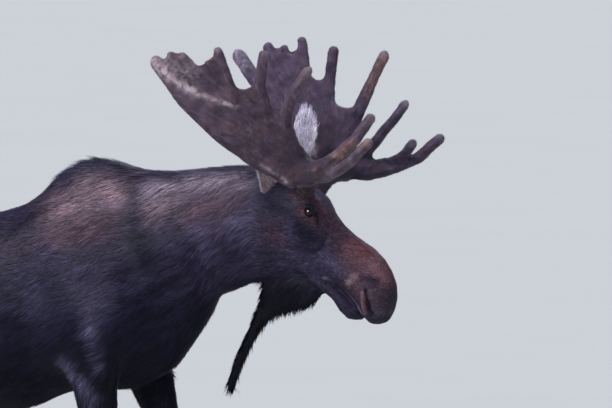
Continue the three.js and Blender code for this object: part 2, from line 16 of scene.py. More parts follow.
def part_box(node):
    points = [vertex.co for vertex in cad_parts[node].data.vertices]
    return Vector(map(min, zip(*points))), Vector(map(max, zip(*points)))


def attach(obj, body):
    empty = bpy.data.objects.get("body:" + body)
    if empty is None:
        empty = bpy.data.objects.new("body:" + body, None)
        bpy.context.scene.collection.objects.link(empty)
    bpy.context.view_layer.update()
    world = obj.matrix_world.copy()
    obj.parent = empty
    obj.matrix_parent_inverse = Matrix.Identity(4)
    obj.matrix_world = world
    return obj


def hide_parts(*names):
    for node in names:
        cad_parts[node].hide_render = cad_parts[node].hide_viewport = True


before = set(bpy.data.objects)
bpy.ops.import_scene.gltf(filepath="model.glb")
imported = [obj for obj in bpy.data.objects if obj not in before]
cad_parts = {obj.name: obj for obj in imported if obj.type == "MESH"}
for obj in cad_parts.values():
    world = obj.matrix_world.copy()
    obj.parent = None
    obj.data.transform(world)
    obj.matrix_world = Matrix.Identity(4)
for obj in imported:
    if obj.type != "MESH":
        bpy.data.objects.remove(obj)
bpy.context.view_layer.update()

SIDES = {"right": -1, "left": 1}


# ---- places ----

def centre(node):
    low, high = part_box(node)
    return (low + high) / 2


# The head has its own axes: along it from the poll to the nose, and up from its own top.
HEAD_PITCH = radians(43)
AHEAD = np.array([cos(HEAD_PITCH), 0, -sin(HEAD_PITCH)])
UPWARD = np.array([sin(HEAD_PITCH), 0, cos(HEAD_PITCH)])
LEFTWARD = np.array([0.0, 1.0, 0.0])
EYE_ALONG = 0.2
EYE_UP = 0.071
EYES = {name: np.array(centre(f"eye_{name}")) for name in SIDES}
EYE_RADIUS = (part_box("eye_right")[1].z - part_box("eye_right")[0].z) / 2
POLL = (EYES["right"] + EYES["left"]) / 2 - AHEAD * EYE_ALONG - UPWARD * EYE_UP
MIDDLE_Y = POLL[1]
WITHERS_X = POLL[0] - 0.76


def on_head(along, side, up):
    return POLL + AHEAD * along + LEFTWARD * side + UPWARD * up


def on_body(ahead, side, height):
    return np.array([WITHERS_X + ahead, MIDDLE_Y + side, height])


def in_head(points):
    """Points as distances along the head, to its left and up."""
    return (points - POLL) @ np.array([AHEAD, LEFTWARD, UPWARD]).T


# Each ear: its root, its tip, and the way that its hollow faces.
EAR_PLACES = {
    "right": (on_body(0.79, -0.088, 1.785), on_body(0.78, -0.222, 2.046), np.array([0.6, -0.8, 0])),
    "left": (on_body(0.812, 0.086, 1.795), on_body(0.85, 0.142, 2.114), np.array([0.25, 0.97, 0])),
}
EAR_HALF_WIDTH = 0.062


def ear_frame(name):
    """An ear's root, the way to its tip, the way that its hollow faces, and the way across to its front."""
    root, tip, face = EAR_PLACES[name]
    axis = unit(tip - root)
    face = unit(face - axis * (face @ axis))
    return root, axis, face, np.cross(axis, face)


# ---- meshes as arrays ----

def smoothstep(low, high, values):
    share = np.clip((values - low) / (high - low), 0, 1)
    return share * share * (3 - 2 * share)


def mound(away, radius):
    """1 in the middle, falling smoothly away from it."""
    return np.exp(-((away / radius) ** 2))


def unit(vectors):
    return vectors / np.maximum(np.linalg.norm(vectors, axis=-1, keepdims=True), 1e-9)


def distances(points, place):
    return np.linalg.norm(points - place, axis=1)


def along_each(vectors, others):
    """The dot product of each vector with its own other."""
    return (vectors * others).sum(axis=1)


def ripple(points, size, seed):
    """Smooth noise from -1 to 1 whose waves are about `size` long."""
    draw = np.random.default_rng(seed)
    total = np.zeros(len(points))
    waves = 9
    for _ in range(waves):
        way = draw.normal(size=3)
        way *= 2 * pi / size * draw.uniform(0.6, 1.5) / np.linalg.norm(way)
        total += np.sin(points @ way + draw.uniform(0, 2 * pi))
    return np.clip(total / waves**0.5 / 1.4, -1, 1)


def read(data, name, width, kind=np.float32):
    values = np.empty(len(data) * width, kind)
    data.foreach_get(name, values)
    return values.reshape(-1, width) if width > 1 else values


def points_of(mesh):
    return read(mesh.vertices, "co", 3).astype(float)


def normals_of(mesh):
    return read(mesh.vertices, "normal", 3).astype(float)


def triangles_of(mesh):
    mesh.calc_loop_triangles()
    return read(mesh.loop_triangles, "vertices", 3, np.int32)


def move_points(mesh, points):
    mesh.vertices.foreach_set("co", points.astype(np.float32).ravel())
    mesh.update()


def paint(mesh, name, colours):
    """Writes a colour for each vertex."""
    layer = mesh.color_attributes.get(name) or mesh.color_attributes.new(name, "FLOAT_COLOR", "POINT")
    rgba = np.ones((len(colours), 4), np.float32)
    rgba[:, :3] = colours
    layer.data.foreach_set("color", rgba.ravel())


class Layers:
    """A colour for each point, with others painted over it."""

    def __init__(self, base, count):
        self.colours = np.tile(base, (count, 1))

    def blend(self, target, weight):
        weight = np.clip(weight, 0, 1)[:, None]
        self.colours = self.colours * (1 - weight) + target * weight


def triangle_mesh(name, points, triangles):
    mesh = bpy.data.meshes.new(name)
    mesh.vertices.add(len(points))
    mesh.vertices.foreach_set("co", points.astype(np.float32).ravel())
    mesh.loops.add(triangles.size)
    mesh.loops.foreach_set("vertex_index", triangles.astype(np.int32).ravel())
    mesh.polygons.add(len(triangles))
    mesh.polygons.foreach_set("loop_start", np.arange(0, triangles.size, 3, dtype=np.int32))
    mesh.update(calc_edges=True)
    return mesh


def placed(name, data):
    """A new object in the scene."""
    item = bpy.data.objects.new(name, data)
    bpy.context.scene.collection.objects.link(item)
    return item


def show(name, mesh, material, slot):
    """Makes an object of the part from a mesh."""
    piece = placed(name, mesh)
    mesh.materials.clear()
    mesh.materials.append(material)
    mesh.polygons.foreach_set("use_smooth", np.ones(len(mesh.polygons), bool))
    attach(piece, "root")
    return piece


def swollen(nodes, growth):
    """The nodes' solids in one mesh, each a little larger all round, and each triangle's node."""
    points, triangles, owners = [], [], []
    first = 0
    for index, node in enumerate(nodes):
        work = bmesh.new()
        work.from_mesh(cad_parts[node].data)
        bmesh.ops.remove_doubles(work, verts=work.verts, dist=1e-5)
        bmesh.ops.triangulate(work, faces=work.faces)
        work.normal_update()
        grow = growth.get(node, growth["rest"])
        points += [vert.co + vert.normal * grow for vert in work.verts]
        triangles += [[first + vert.index for vert in face.verts] for face in work.faces]
        owners += [index] * len(work.faces)
        first += len(work.verts)
        work.free()
    return np.array(points), np.array(triangles), np.array(owners)


def through(mesh, kind, **settings):
    """The mesh after one modifier."""
    holder = placed("work", mesh)
    groups = settings.pop("weights", None)
    if groups is not None:
        group = holder.vertex_groups.new(name="weights")
        for level in np.unique(groups):
            group.add(np.flatnonzero(groups == level).tolist(), float(level), "REPLACE")
        settings["vertex_group"] = "weights"
    modifier = holder.modifiers.new("work", kind)
    for key, value in settings.items():
        setattr(modifier, key, value)
    bpy.context.view_layer.update()
    shown = holder.evaluated_get(bpy.context.evaluated_depsgraph_get())
    made = bpy.data.meshes.new_from_object(shown)
    bpy.data.objects.remove(holder)
    return made


def remeshed(points, triangles, voxel):
    return through(triangle_mesh("rough", points, triangles), "REMESH", mode="VOXEL", voxel_size=voxel)


class Surface:
    """Smooths values along a mesh's edges."""

    def __init__(self, mesh):
        self.a, self.b = read(mesh.edges, "vertices", 2, np.int32).T
        self.size = len(mesh.vertices)
        self.share = 1 / np.maximum(self.total(np.ones(self.size)), 1)

    def total(self, values):
        ahead = np.bincount(self.a, values[self.b], self.size)
        return ahead + np.bincount(self.b, values[self.a], self.size)

    def mean(self, values):
        if values.ndim == 1:
            return self.total(values) * self.share
        return np.stack([self.total(column) * self.share for column in values.T], axis=1)

    def blur(self, values, rounds):
        for _ in range(rounds):
            values = values + 0.8 * (self.mean(values) - values)
        return values

    def relax(self, values, rounds):
        """Blurs each vertex for its own number of rounds."""
        for done in range(int(np.ceil(rounds.max()))):
            pull = 0.9 * np.clip(rounds - done, 0, 1)[:, None]
            values = values + pull * (self.mean(values) - values)
        return values

    def smooth(self, points, rounds):
        """Smooths the shape, and gives back the size that smoothing takes."""
        smoothed = self.relax(points, rounds)
        for _ in range(2):
            smoothed = smoothed + self.relax(points - smoothed, rounds)
        return smoothed


def nearest(tree, points):
    return np.array([tree.find_nearest(point)[2] for point in points])


# ---- the regions of the coat ----

# depth: from the skin to the coat's tips. rounds: how far the solid's facets are smoothed. comb: the way
# the hair lies. length and width: of a tuft. apart: the distance between tufts.
Region = namedtuple("Region", "depth rounds comb length width apart")

TOWARDS_POLL = -AHEAD * 0.95 - UPWARD * 0.3
ALONG_BODY = unit(np.array([-0.86, 0, -0.5]))
REGIONS = {
    "trunk": Region(0.011, 110, ALONG_BODY, 0.05, 0.0042, 0.006),
    "neck": Region(0.012, 110, (-0.76, 0, -0.6), 0.05, 0.004, 0.0056),
    "head": Region(0.0045, 9, TOWARDS_POLL, 0.015, 0.0021, 0.0042),
    "lower_jaw": Region(0.0035, 5, TOWARDS_POLL, 0.013, 0.002, 0.0042),
    "bell": Region(0.01, 6, (-0.3, 0, -1), 0.06, 0.004, 0.005),
    "tail": Region(0.012, 8, (-0.3, 0, -1), 0.05, 0.004, 0.006),
    "upper": Region(0.008, 14, (-0.2, 0, -1), 0.034, 0.0038, 0.0064),
    "lower": Region(0.0045, 9, (-0.08, 0, -1), 0.018, 0.0026, 0.0052),
    "ear": Region(0.003, 2, (0, 0, 1), 0.026, 0.0022, 0.004),
}
LEGS = [f"leg_{end}_{side}" for end in ("front", "hind") for side in SIDES]
HEAD_NODES = ["head", "lower_jaw"]
FLESH = ["trunk", "neck", "head", "lower_jaw", "bell", "tail"]
FLESH += [f"{leg}_{half}" for leg in LEGS for half in ("upper", "lower")]
FLESH += [f"ear_{side}" for side in SIDES]


def region_name(node):
    if node.startswith("leg_"):
        return node.rsplit("_", 1)[1]
    return "ear" if node.startswith("ear_") else node


def on_nodes(owners, nodes):
    return np.isin(owners, [FLESH.index(node) for node in nodes])


NODE_REGIONS = [REGIONS[region_name(node)] for node in FLESH]


def region_values(owners, field):
    return np.array([getattr(region, field) for region in NODE_REGIONS], float)[owners]


# ---- the skin ----

VOXEL = 0.0062
CLOSE_GAPS = 0.0012
THICKEN_EARS = 0.0028
KEPT_FACES = 0.3
SKIN_SHADE = 0.55  # painted shade: the skin between the tufts is darker than they are

# The eyes are closed over too, as part of the head; the lids are opened later.
solid_points, solid_triangles, solid_owners = swollen(
    FLESH + ["eye_right", "eye_left"],
    {"rest": CLOSE_GAPS, "ear_right": THICKEN_EARS, "ear_left": THICKEN_EARS})
solid_owners[solid_owners >= len(FLESH)] = FLESH.index("head")
solid_tree = BVHTree.FromPolygons(solid_points.tolist(), solid_triangles.tolist())


def owners_of(points):
    return solid_owners[nearest(solid_tree, points)]


WITHERS_HEIGHT = 1.885
NAPE_DIP = 0.035  # how much lower the outline is just ahead of the withers
CREST_EXTRA = 0.012  # how much further the crest's hair stands out


def crest(points):
    """1 along the top of the withers and the neck, where the hair is longest, and 0 away from it."""
    ahead = points[:, 0] - WITHERS_X
    along = smoothstep(-0.34, -0.12, ahead) * (1 - smoothstep(0.45, 0.72, ahead))
    top = WITHERS_HEIGHT - NAPE_DIP * mound(ahead - 0.28, 0.18)
    return along * smoothstep(top - 0.15, top - 0.02, points[:, 2])


def coat_depth(points, owners, surface):
    depth = region_values(owners, "depth") - 0.009 * crest(points)
    along = in_head(points)[:, 0]
    depth -= on_nodes(owners, HEAD_NODES) * 0.0035 * smoothstep(0.2, 0.42, along)
    return surface.blur(depth, 8)


def bare_skin():
    """The flesh nodes as one smooth skin, inside them by the coat's depth."""
    dense = remeshed(solid_points, solid_triangles, VOXEL)
    surface = Surface(dense)
    points = points_of(dense)
    owners = owners_of(points)
    rounds = surface.blur(region_values(owners, "rounds"), 10)
    points = surface.smooth(points, rounds)
    move_points(dense, points)
    depth = coat_depth(points, owners, surface)
    normals = surface.blur(normals_of(dense), 2)
    move_points(dense, points - unit(normals) * depth[:, None])
    spare = np.where(on_nodes(owners, HEAD_NODES + ["ear_right", "ear_left"]), 0.0, 1.0)
    return through(dense, "DECIMATE", ratio=KEPT_FACES, weights=spare, vertex_group_factor=8)


def refine(mesh, places):
    """Halves the edges within reach of any of the places, [point, reach]."""
    points = points_of(mesh)
    near = np.zeros(len(points), bool)
    for point, reach in places:
        near |= distances(points, point) < reach
    work = bmesh.new()
    work.from_mesh(mesh)
    edges = [edge for edge in work.edges if all(near[vert.index] for vert in edge.verts)]
    bmesh.ops.subdivide_edges(work, edges=edges, cuts=1, use_grid_fill=True)
    bmesh.ops.triangulate(work, faces=[face for face in work.faces if len(face.verts) > 3])
    work.to_mesh(mesh)
    work.free()


def laid(place, rows):
    """A table's rows, [places, radius, the rest], with places and radius turned from millimetres."""
    return [([place(*np.divide(spot, 1000)) for spot in spots], radius / 1000, *rest)
            for spots, radius, *rest in rows]


# Lines that are both carved and coloured, in millimetres, like all the tables of strokes and marks.
NECK_CREASE = [(480, 160, 1550), (520, 150, 1480)]
BREAST_FOLD = [(300, 140, 1090), (240, 180, 1040), (160, 200, 980)]
CHEEK_CREASE = [(275, 90, -74), (300, 86, -70), (327, 83, -55), (342, 86, -6), (326, 84, 36)]
BROW_RIDGE = [(160, 85, 128), (190, 66, 121), (240, 62, 112)]
NOSTRIL_SLIT = [(596, 89, 4), (608, 89, -7), (647, 84, -32)]
NOSTRIL = [(640, 85, -30), (663, 78, -52), (688, 68, -60)]
MOUTH = [(445, 52, -106), (500, 56, -98), (560, 56, -94), (610, 50, -94), (645, 30, -100)]

# Strokes shape the skin on both sides: [places on the way, radius, height], in and out along the skin.
BODY_STROKES = [
    # the shoulder blade's ridge and the hollows before and behind it
    ([(-20, 200, 1740), (100, 270, 1500), (200, 260, 1300)], 55, 16),
    ([(170, 200, 1680), (270, 220, 1450)], 60, -14),
    ([(-170, 260, 1620), (-160, 300, 1300)], 70, -14),
    # the point of the shoulder, the upper arm and the elbow
    ([(240, 210, 1280), (200, 240, 1200)], 70, 14),
    ([(100, 270, 1220), (-60, 270, 1080)], 75, 18),
    ([(-110, 260, 1050), (-120, 220, 1000)], 40, 16),
    ([(-210, 300, 1180), (-190, 270, 1020), (-120, 200, 930)], 50, -22),
    # the crease between the breast and the foreleg
    ([(300, 160, 1100), (200, 210, 1020), (130, 190, 950)], 40, -18),
    (BREAST_FOLD, 16, -8),
    (NECK_CREASE, 22, -6),
    # the neck's groove from the jaw to the breast, and its muscle above
    ([(680, 110, 1520), (500, 150, 1460), (330, 180, 1340)], 45, -12),
    ([(660, 140, 1660), (450, 170, 1600), (240, 220, 1520)], 70, 10),
    # ribs' edge and flank, hip bone, thigh
    ([(-620, 300, 1100), (-800, 280, 1280), (-880, 250, 1450)], 70, -16),
    ([(-960, 170, 1620), (-980, 220, 1520)], 60, 18),
    ([(-1020, 250, 1400), (-1020, 270, 1150)], 110, 12),
    ([(-1300, 130, 1420), (-1240, 200, 1150)], 60, -10),
]
HEAD_STROKES = [
    # the jaw muscle's edge, the hollow behind it, the cheek
    ([(140, 110, -80), (220, 105, -140)], 50, 10),
    ([(300, 95, -30), (330, 85, -120)], 28, -5),
    # the hollow below the eye, the crease under it, and the cheek's swell before it
    ([(225, 110, 0), (282, 97, -12), (310, 90, -4)], 26, -8),
    (CHEEK_CREASE, 10, -9.5),
    ([(375, 80, -30), (460, 80, -15)], 36, 6),
    # brow over the eye, hollow above it, the fold and the gland's slit before it
    ([(150, 110, 100), (205, 105, 116)], 14, 7),
    ([(120, 105, 70), (140, 105, 85)], 18, -6),
    ([(236, 105, 70), (256, 100, 50)], 6, 5),
    ([(232, 92, 95), (262, 92, 70)], 8, -11),
    (BROW_RIDGE, 12, 4),
    # the nose's hollow side, the swell behind the nostril, whose paleness is a painted highlight, and the
    # dent over the nostril
    ([(420, 80, 50), (520, 85, 60)], 35, -5),
    ([(522, 77, -28), (524, 82, 6)], 16, 7),
    ([(565, 83, 28), (600, 74, 62)], 22, -7),
    # the nostril's wing before it and its rim behind it
    ([(630, 86, 10), (665, 79, 0), (703, 64, -31)], 18, 6),
    ([(598, 88, -18), (622, 82, -44), (655, 68, -74)], 7, 6),
    # the upper lip's edge
    ([(440, 60, -95), (488, 62, -86), (550, 60, -80), (605, 55, -80), (640, 45, -88)], 7, 4),
]
OPENINGS = laid(on_head, [
    (NOSTRIL_SLIT, 5.5, -12),
    (NOSTRIL, 9.5, -26),
    (MOUTH, 6.5, -14),
])


def way_distance(points, way):
    """How far each point is from a line of places."""
    best = np.full(len(points), np.inf)
    for start, end in zip(way, way[1:]):
        step = end - start
        along = np.clip((points - start) @ step / (step @ step), 0, 1)
        best = np.minimum(best, distances(points, start + along[:, None] * step))
    return best


def mirrored(points, side):
    """The points as seen from the left side."""
    turned = points.copy()
    turned[:, 1] = np.where(np.asarray(side) < 0, 2 * MIDDLE_Y - points[:, 1], points[:, 1])
    return turned


def carve(mesh, strokes):
    points = points_of(mesh)
    normals = normals_of(mesh)
    for way, radius, height in strokes:
        for side in SIDES.values():
            away = way_distance(mirrored(points, side), way)
            points += normals * (height / 1000 * mound(away, radius))[:, None]
    move_points(mesh, points)


# The eye's opening: half its length and its height, how thick its lids are, and how far out they blend.
LID = {"half_length": 0.0195, "half_height": 0.014, "thick": 0.003, "fold": 0.03}
LID_AXIS = AHEAD * cos(radians(12)) - UPWARD * sin(radians(12))
UPPER_FOLD = 0.0085
EYE_RIM, EYE_REGION = 0.04, 0.06  # how far from its middle an eye's colours and its shapes reach
# Each fold in the lids: how far it is from the edge, whether it is in the upper lid, and how deep it is.
FOLDS = [(UPPER_FOLD, True, 0.0035), (0.0075, False, 0.0028), (0.015, False, 0.002)]


def eye_axes(ahead, side):
    """The ways out of an eye, along its opening and across it."""
    outward = unit(np.array([ahead, side, -0.05]))
    long_axis = unit(LID_AXIS - outward * (LID_AXIS @ outward))
    return outward, long_axis, np.cross(long_axis, outward)


def eye_view(points, name):
    """The points from an eye: away from its middle, up and out from it, and beyond its opening's edge."""
    outward, long_axis, short_axis = eye_axes(0.2, SIDES[name])
    way = points - EYES[name]
    up = way @ short_axis * (1 if short_axis[2] > 0 else -1)
    edge = np.hypot(way @ long_axis / LID["half_length"], up / LID["half_height"])
    return way, up, way @ outward, (edge - 1) * LID["half_height"]


def set_lids(mesh):
    points = points_of(mesh)
    for name in SIDES:
        way, up, out, beyond = eye_view(points, name)
        facing = (out > 0) & (distances(points, EYES[name]) < EYE_REGION)
        # the upper lid is the thicker one, and both thin towards their edge
        thick = LID["thick"] * (1 + 0.5 * smoothstep(-0.004, 0.01, up)) * smoothstep(-0.002, 0.004, beyond)
        lid = EYE_RADIUS + 0.0006 + thick - 0.008 * smoothstep(0.0, 0.004, -beyond)
        weight = facing * (1 - smoothstep(0.006, LID["fold"], beyond))
        points += (EYES[name] + unit(way) * lid[:, None] - points) * weight[:, None]
        for place, above, deep in FOLDS:
            fold = mound(beyond - place, 0.002) * facing
            fold *= smoothstep(0.001, 0.007, up if above else -up)
            points -= unit(way) * (deep * fold)[:, None]
    move_points(mesh, points)


def skin_mesh():
    mesh = bare_skin()
    carve(mesh, laid(on_body, BODY_STROKES) + laid(on_head, HEAD_STROKES))
    nostrils = [on_head(0.635, side * 0.085, -0.03) for side in SIDES.values()]
    mouths = [on_head(along, side * 0.055, -0.09) for side in SIDES.values() for along in (0.47, 0.53, 0.6)]
    eyes = list(EYES.values())
    for eye_reach, nostril_reach, mouth_reach in ((0.055, 0.065, 0.05), (0.042, 0.055, 0)):
        reaches = [eye_reach] * len(eyes) + [nostril_reach] * len(nostrils) + [mouth_reach] * len(mouths)
        refine(mesh, zip(eyes + nostrils + mouths, reaches))
    carve(mesh, OPENINGS)
    set_lids(mesh)
    return mesh


# ---- markings ----

def srgb(red, green, blue):
    values = np.array([red, green, blue]) / 255
    return np.where(values <= 0.04045, values / 12.92, ((values + 0.055) / 1.055) ** 2.4)


COAT_DARK_AND_CREASE_SHADE = srgb(21, 20, 40)
COAT_UPPER_AND_SKY_LIGHT = srgb(49, 41, 62)
BREAST_BLUE = srgb(17, 18, 36)
BLACK_AND_PAINTED_SHADE = srgb(10, 10, 20)
BACK_BLACK_AND_SKY_SHEEN = srgb(38, 40, 60)
HUMP_BROWN_AND_SHEEN = srgb(162, 132, 142)
STREAK_GREY_AND_SHEEN = srgb(200, 180, 200)
UMBER = srgb(112, 78, 84)
PAINTED_BLUE_HIGHLIGHT = srgb(98, 92, 122)
PAINTED_SHADE_BLACK = srgb(30, 28, 48)
FACE_GREY = srgb(58, 50, 70)
NOSE_BROWN = srgb(124, 80, 84)
NOSE_PALE = srgb(158, 122, 132)
BELL_BLACK = srgb(4, 4, 9)
MUZZLE_BROWN = srgb(80, 62, 72)
PAINTED_BULGE_HIGHLIGHT = srgb(178, 150, 156)
NOSTRIL_PINK = srgb(168, 124, 128)
LIP_GREY = srgb(176, 164, 182)
LID_BROWN = srgb(106, 70, 70)
EAR_GREY = srgb(206, 198, 220)
EAR_BROWN = srgb(192, 166, 168)
EAR_FRINGE = srgb(240, 234, 240)
LEG_GREY = srgb(70, 64, 70)
HORN_DARK = srgb(26, 23, 22)
HORN_WORN = srgb(56, 50, 47)
EYE_WHITE = srgb(24, 16, 18)
IRIS = srgb(24, 14, 12)
PUPIL = srgb(5, 4, 6)

# Marks on the coat: [places, radius, colour, strength, how far streaks break it up].
BODY_MARKS = [
    # the hump: brown, partly painted sheen, with paler streaks and painted sheen towards the neck, and
    # painted shade in the crease down the shoulder's front
    ([(-120, 180, 1700), (30, 130, 1770), (140, 110, 1780)], 85, HUMP_BROWN_AND_SHEEN, 0.72, 0.45),
    ([(-60, 240, 1620), (120, 220, 1660)], 65, UMBER, 1.0, 0.5),
    ([(-420, 280, 1580), (-220, 270, 1600)], 75, UMBER, 0.35, 0.5),
    ([(290, 100, 1790), (480, 80, 1820), (660, 90, 1840)], 55, STREAK_GREY_AND_SHEEN, 0.45, 0.6),
    ([(310, 150, 1710), (400, 140, 1740)], 55, HUMP_BROWN_AND_SHEEN, 0.6, 0.5),
    ([(500, 140, 1700), (640, 130, 1730)], 70, UMBER, 0.5, 0.5),
    ([(0, 280, 1500), (80, 290, 1400), (100, 290, 1280)], 70, FACE_GREY, 0.6, 0.5),
    ([(215, 80, 1820), (213, 120, 1750), (230, 170, 1660)], 30, COAT_DARK_AND_CREASE_SHADE, 1.0, 0.2),
    # painted shade in the hollow before the shoulder blade, in the neck's crease and in the breast's fold
    ([(260, 190, 1620), (290, 210, 1520)], 55, BLACK_AND_PAINTED_SHADE, 1.0, 0.2),
    (NECK_CREASE, 22, COAT_DARK_AND_CREASE_SHADE, 0.7, 0.2),
    (BREAST_FOLD, 20, BLACK_AND_PAINTED_SHADE, 1.0, 0.0),
    ([(290, 210, 1500), (310, 210, 1360), (270, 220, 1200)], 70, BREAST_BLUE, 0.85, 0.2),
    ([(-240, 170, 1650), (-500, 220, 1580)], 80, COAT_DARK_AND_CREASE_SHADE, 0.75, 0.3),
    # painted blue highlights down the shoulder and on the neck
    ([(-110, 270, 1620), (-50, 300, 1500), (0, 300, 1370)], 34, PAINTED_BLUE_HIGHLIGHT, 0.95, 0.5),
    ([(50, 310, 1310), (100, 300, 1170), (110, 270, 1060)], 30, PAINTED_BLUE_HIGHLIGHT, 0.75, 0.5),
    ([(500, 150, 1620), (570, 140, 1500)], 50, PAINTED_BLUE_HIGHLIGHT, 0.4, 0.5),
    ([(680, 130, 1660), (720, 130, 1600)], 70, PAINTED_BLUE_HIGHLIGHT, 0.7, 0.5),
    ([(-220, 320, 1420), (-180, 320, 1260)], 60, PAINTED_BLUE_HIGHLIGHT, 0.3, 0.5),
    # painted shade behind the elbow, a painted highlight on the upper arm
    ([(-20, 270, 1160), (20, 260, 1080)], 55, BLACK_AND_PAINTED_SHADE, 0.7, 0.1),
    ([(-50, 250, 1060), (20, 250, 980), (40, 240, 900)], 40, PAINTED_BLUE_HIGHLIGHT, 0.6, 0.3),
]
HEAD_MARKS = [
    # painted shadow under the ear, the cheek, a painted highlight along the jaw, and painted shade in the
    # hollow below the eye and in its crease
    ([(40, 105, -30), (90, 110, -10)], 40, PAINTED_SHADE_BLACK, 0.8, 0.2),
    ([(140, 100, -100), (200, 100, -90)], 50, UMBER, 0.5, 0.8),
    ([(240, 90, -120), (380, 70, -120)], 50, PAINTED_BLUE_HIGHLIGHT, 0.35, 0.6),
    ([(228, 110, -6), (262, 102, -8), (312, 90, -8)], 38, PAINTED_SHADE_BLACK, 1.0, 0.1),
    (CHEEK_CREASE, 9, BLACK_AND_PAINTED_SHADE, 1.0, 0.0),
    # painted highlights on the cheek's swell and below the eye
    ([(366, 80, -30), (480, 80, -10)], 34, PAINTED_BLUE_HIGHLIGHT, 0.55, 0.7),
    ([(180, 112, -20), (230, 105, -60)], 20, PAINTED_BLUE_HIGHLIGHT, 0.35, 0.5),
    # the nose's red bridge, the brown muzzle, painted shade in the dent over the nostril, and painted
    # highlights on the swell behind the nostril, below the nostril and along the jaw's edge
    ([(240, 55, 100), (430, 45, 95)], 62, UMBER, 0.5, 0.25),
    ([(460, 40, 112), (620, 30, 95)], 48, NOSE_BROWN, 0.9, 0.25),
    ([(440, 60, 90), (520, 60, 90), (590, 50, 90)], 45, NOSE_BROWN, 0.8, 0.2),
    ([(450, 80, 50), (560, 85, -10)], 48, NOSE_BROWN, 0.5, 0.5),
    ([(540, 55, 99), (610, 50, 85)], 30, NOSE_PALE, 0.6, 0.2),
    ([(640, 80, 10), (690, 65, -15)], 50, MUZZLE_BROWN, 0.85, 0.2),
    ([(570, 83, 34), (602, 74, 62)], 21, PAINTED_SHADE_BLACK, 0.85, 0.1),
    ([(522, 77, -30), (524, 82, 6)], 14, PAINTED_BULGE_HIGHLIGHT, 0.75, 0.2),
    ([(596, 88, -14), (622, 82, -44), (655, 68, -74)], 8, NOSTRIL_PINK, 0.9, 0.1),
    ([(690, 66, -40), (705, 60, -20)], 14, PAINTED_BLUE_HIGHLIGHT, 0.55, 0.1),
    ([(430, 60, -96), (488, 62, -86), (550, 60, -80), (605, 55, -80), (640, 45, -88)], 8.5, LIP_GREY,
     0.8, 0.2),
    ([(256, 63, -180), (330, 60, -165), (420, 55, -145)], 18, PAINTED_BLUE_HIGHLIGHT, 0.5, 0.5),
    # round the eye, the brow, painted shade in the gland's slit and in the nostrils, and a painted blue
    # highlight on the flat forehead
    ([(190, 110, 58), (212, 105, 60)], 22, LID_BROWN, 0.8, 0.2),
    (BROW_RIDGE, 14, NOSE_BROWN, 1.0, 0.2),
    ([(236, 105, 70), (256, 100, 48)], 10, LID_BROWN, 0.8, 0.1),
    ([(120, 105, 80), (159, 110, 98)], 18, UMBER, 0.9, 0.2),
    ([(232, 89, 95), (262, 92, 72)], 12, BLACK_AND_PAINTED_SHADE, 1.0, 0.0),
    ([(180, 40, 150), (220, 30, 145)], 32, PAINTED_BLUE_HIGHLIGHT, 0.85, 0.2),
    (NOSTRIL_SLIT, 7, BLACK_AND_PAINTED_SHADE, 1.0, 0.0),
    (NOSTRIL, 10.5, BLACK_AND_PAINTED_SHADE, 1.0, 0.0),
]


def streaks(points, size, seed, way=ALONG_BODY):
    """Noise from 0 to 1, drawn out along the way that the hair lies."""
    return 0.5 + 0.5 * ripple(points - 0.8 * (points @ way)[:, None] * way, size, seed)


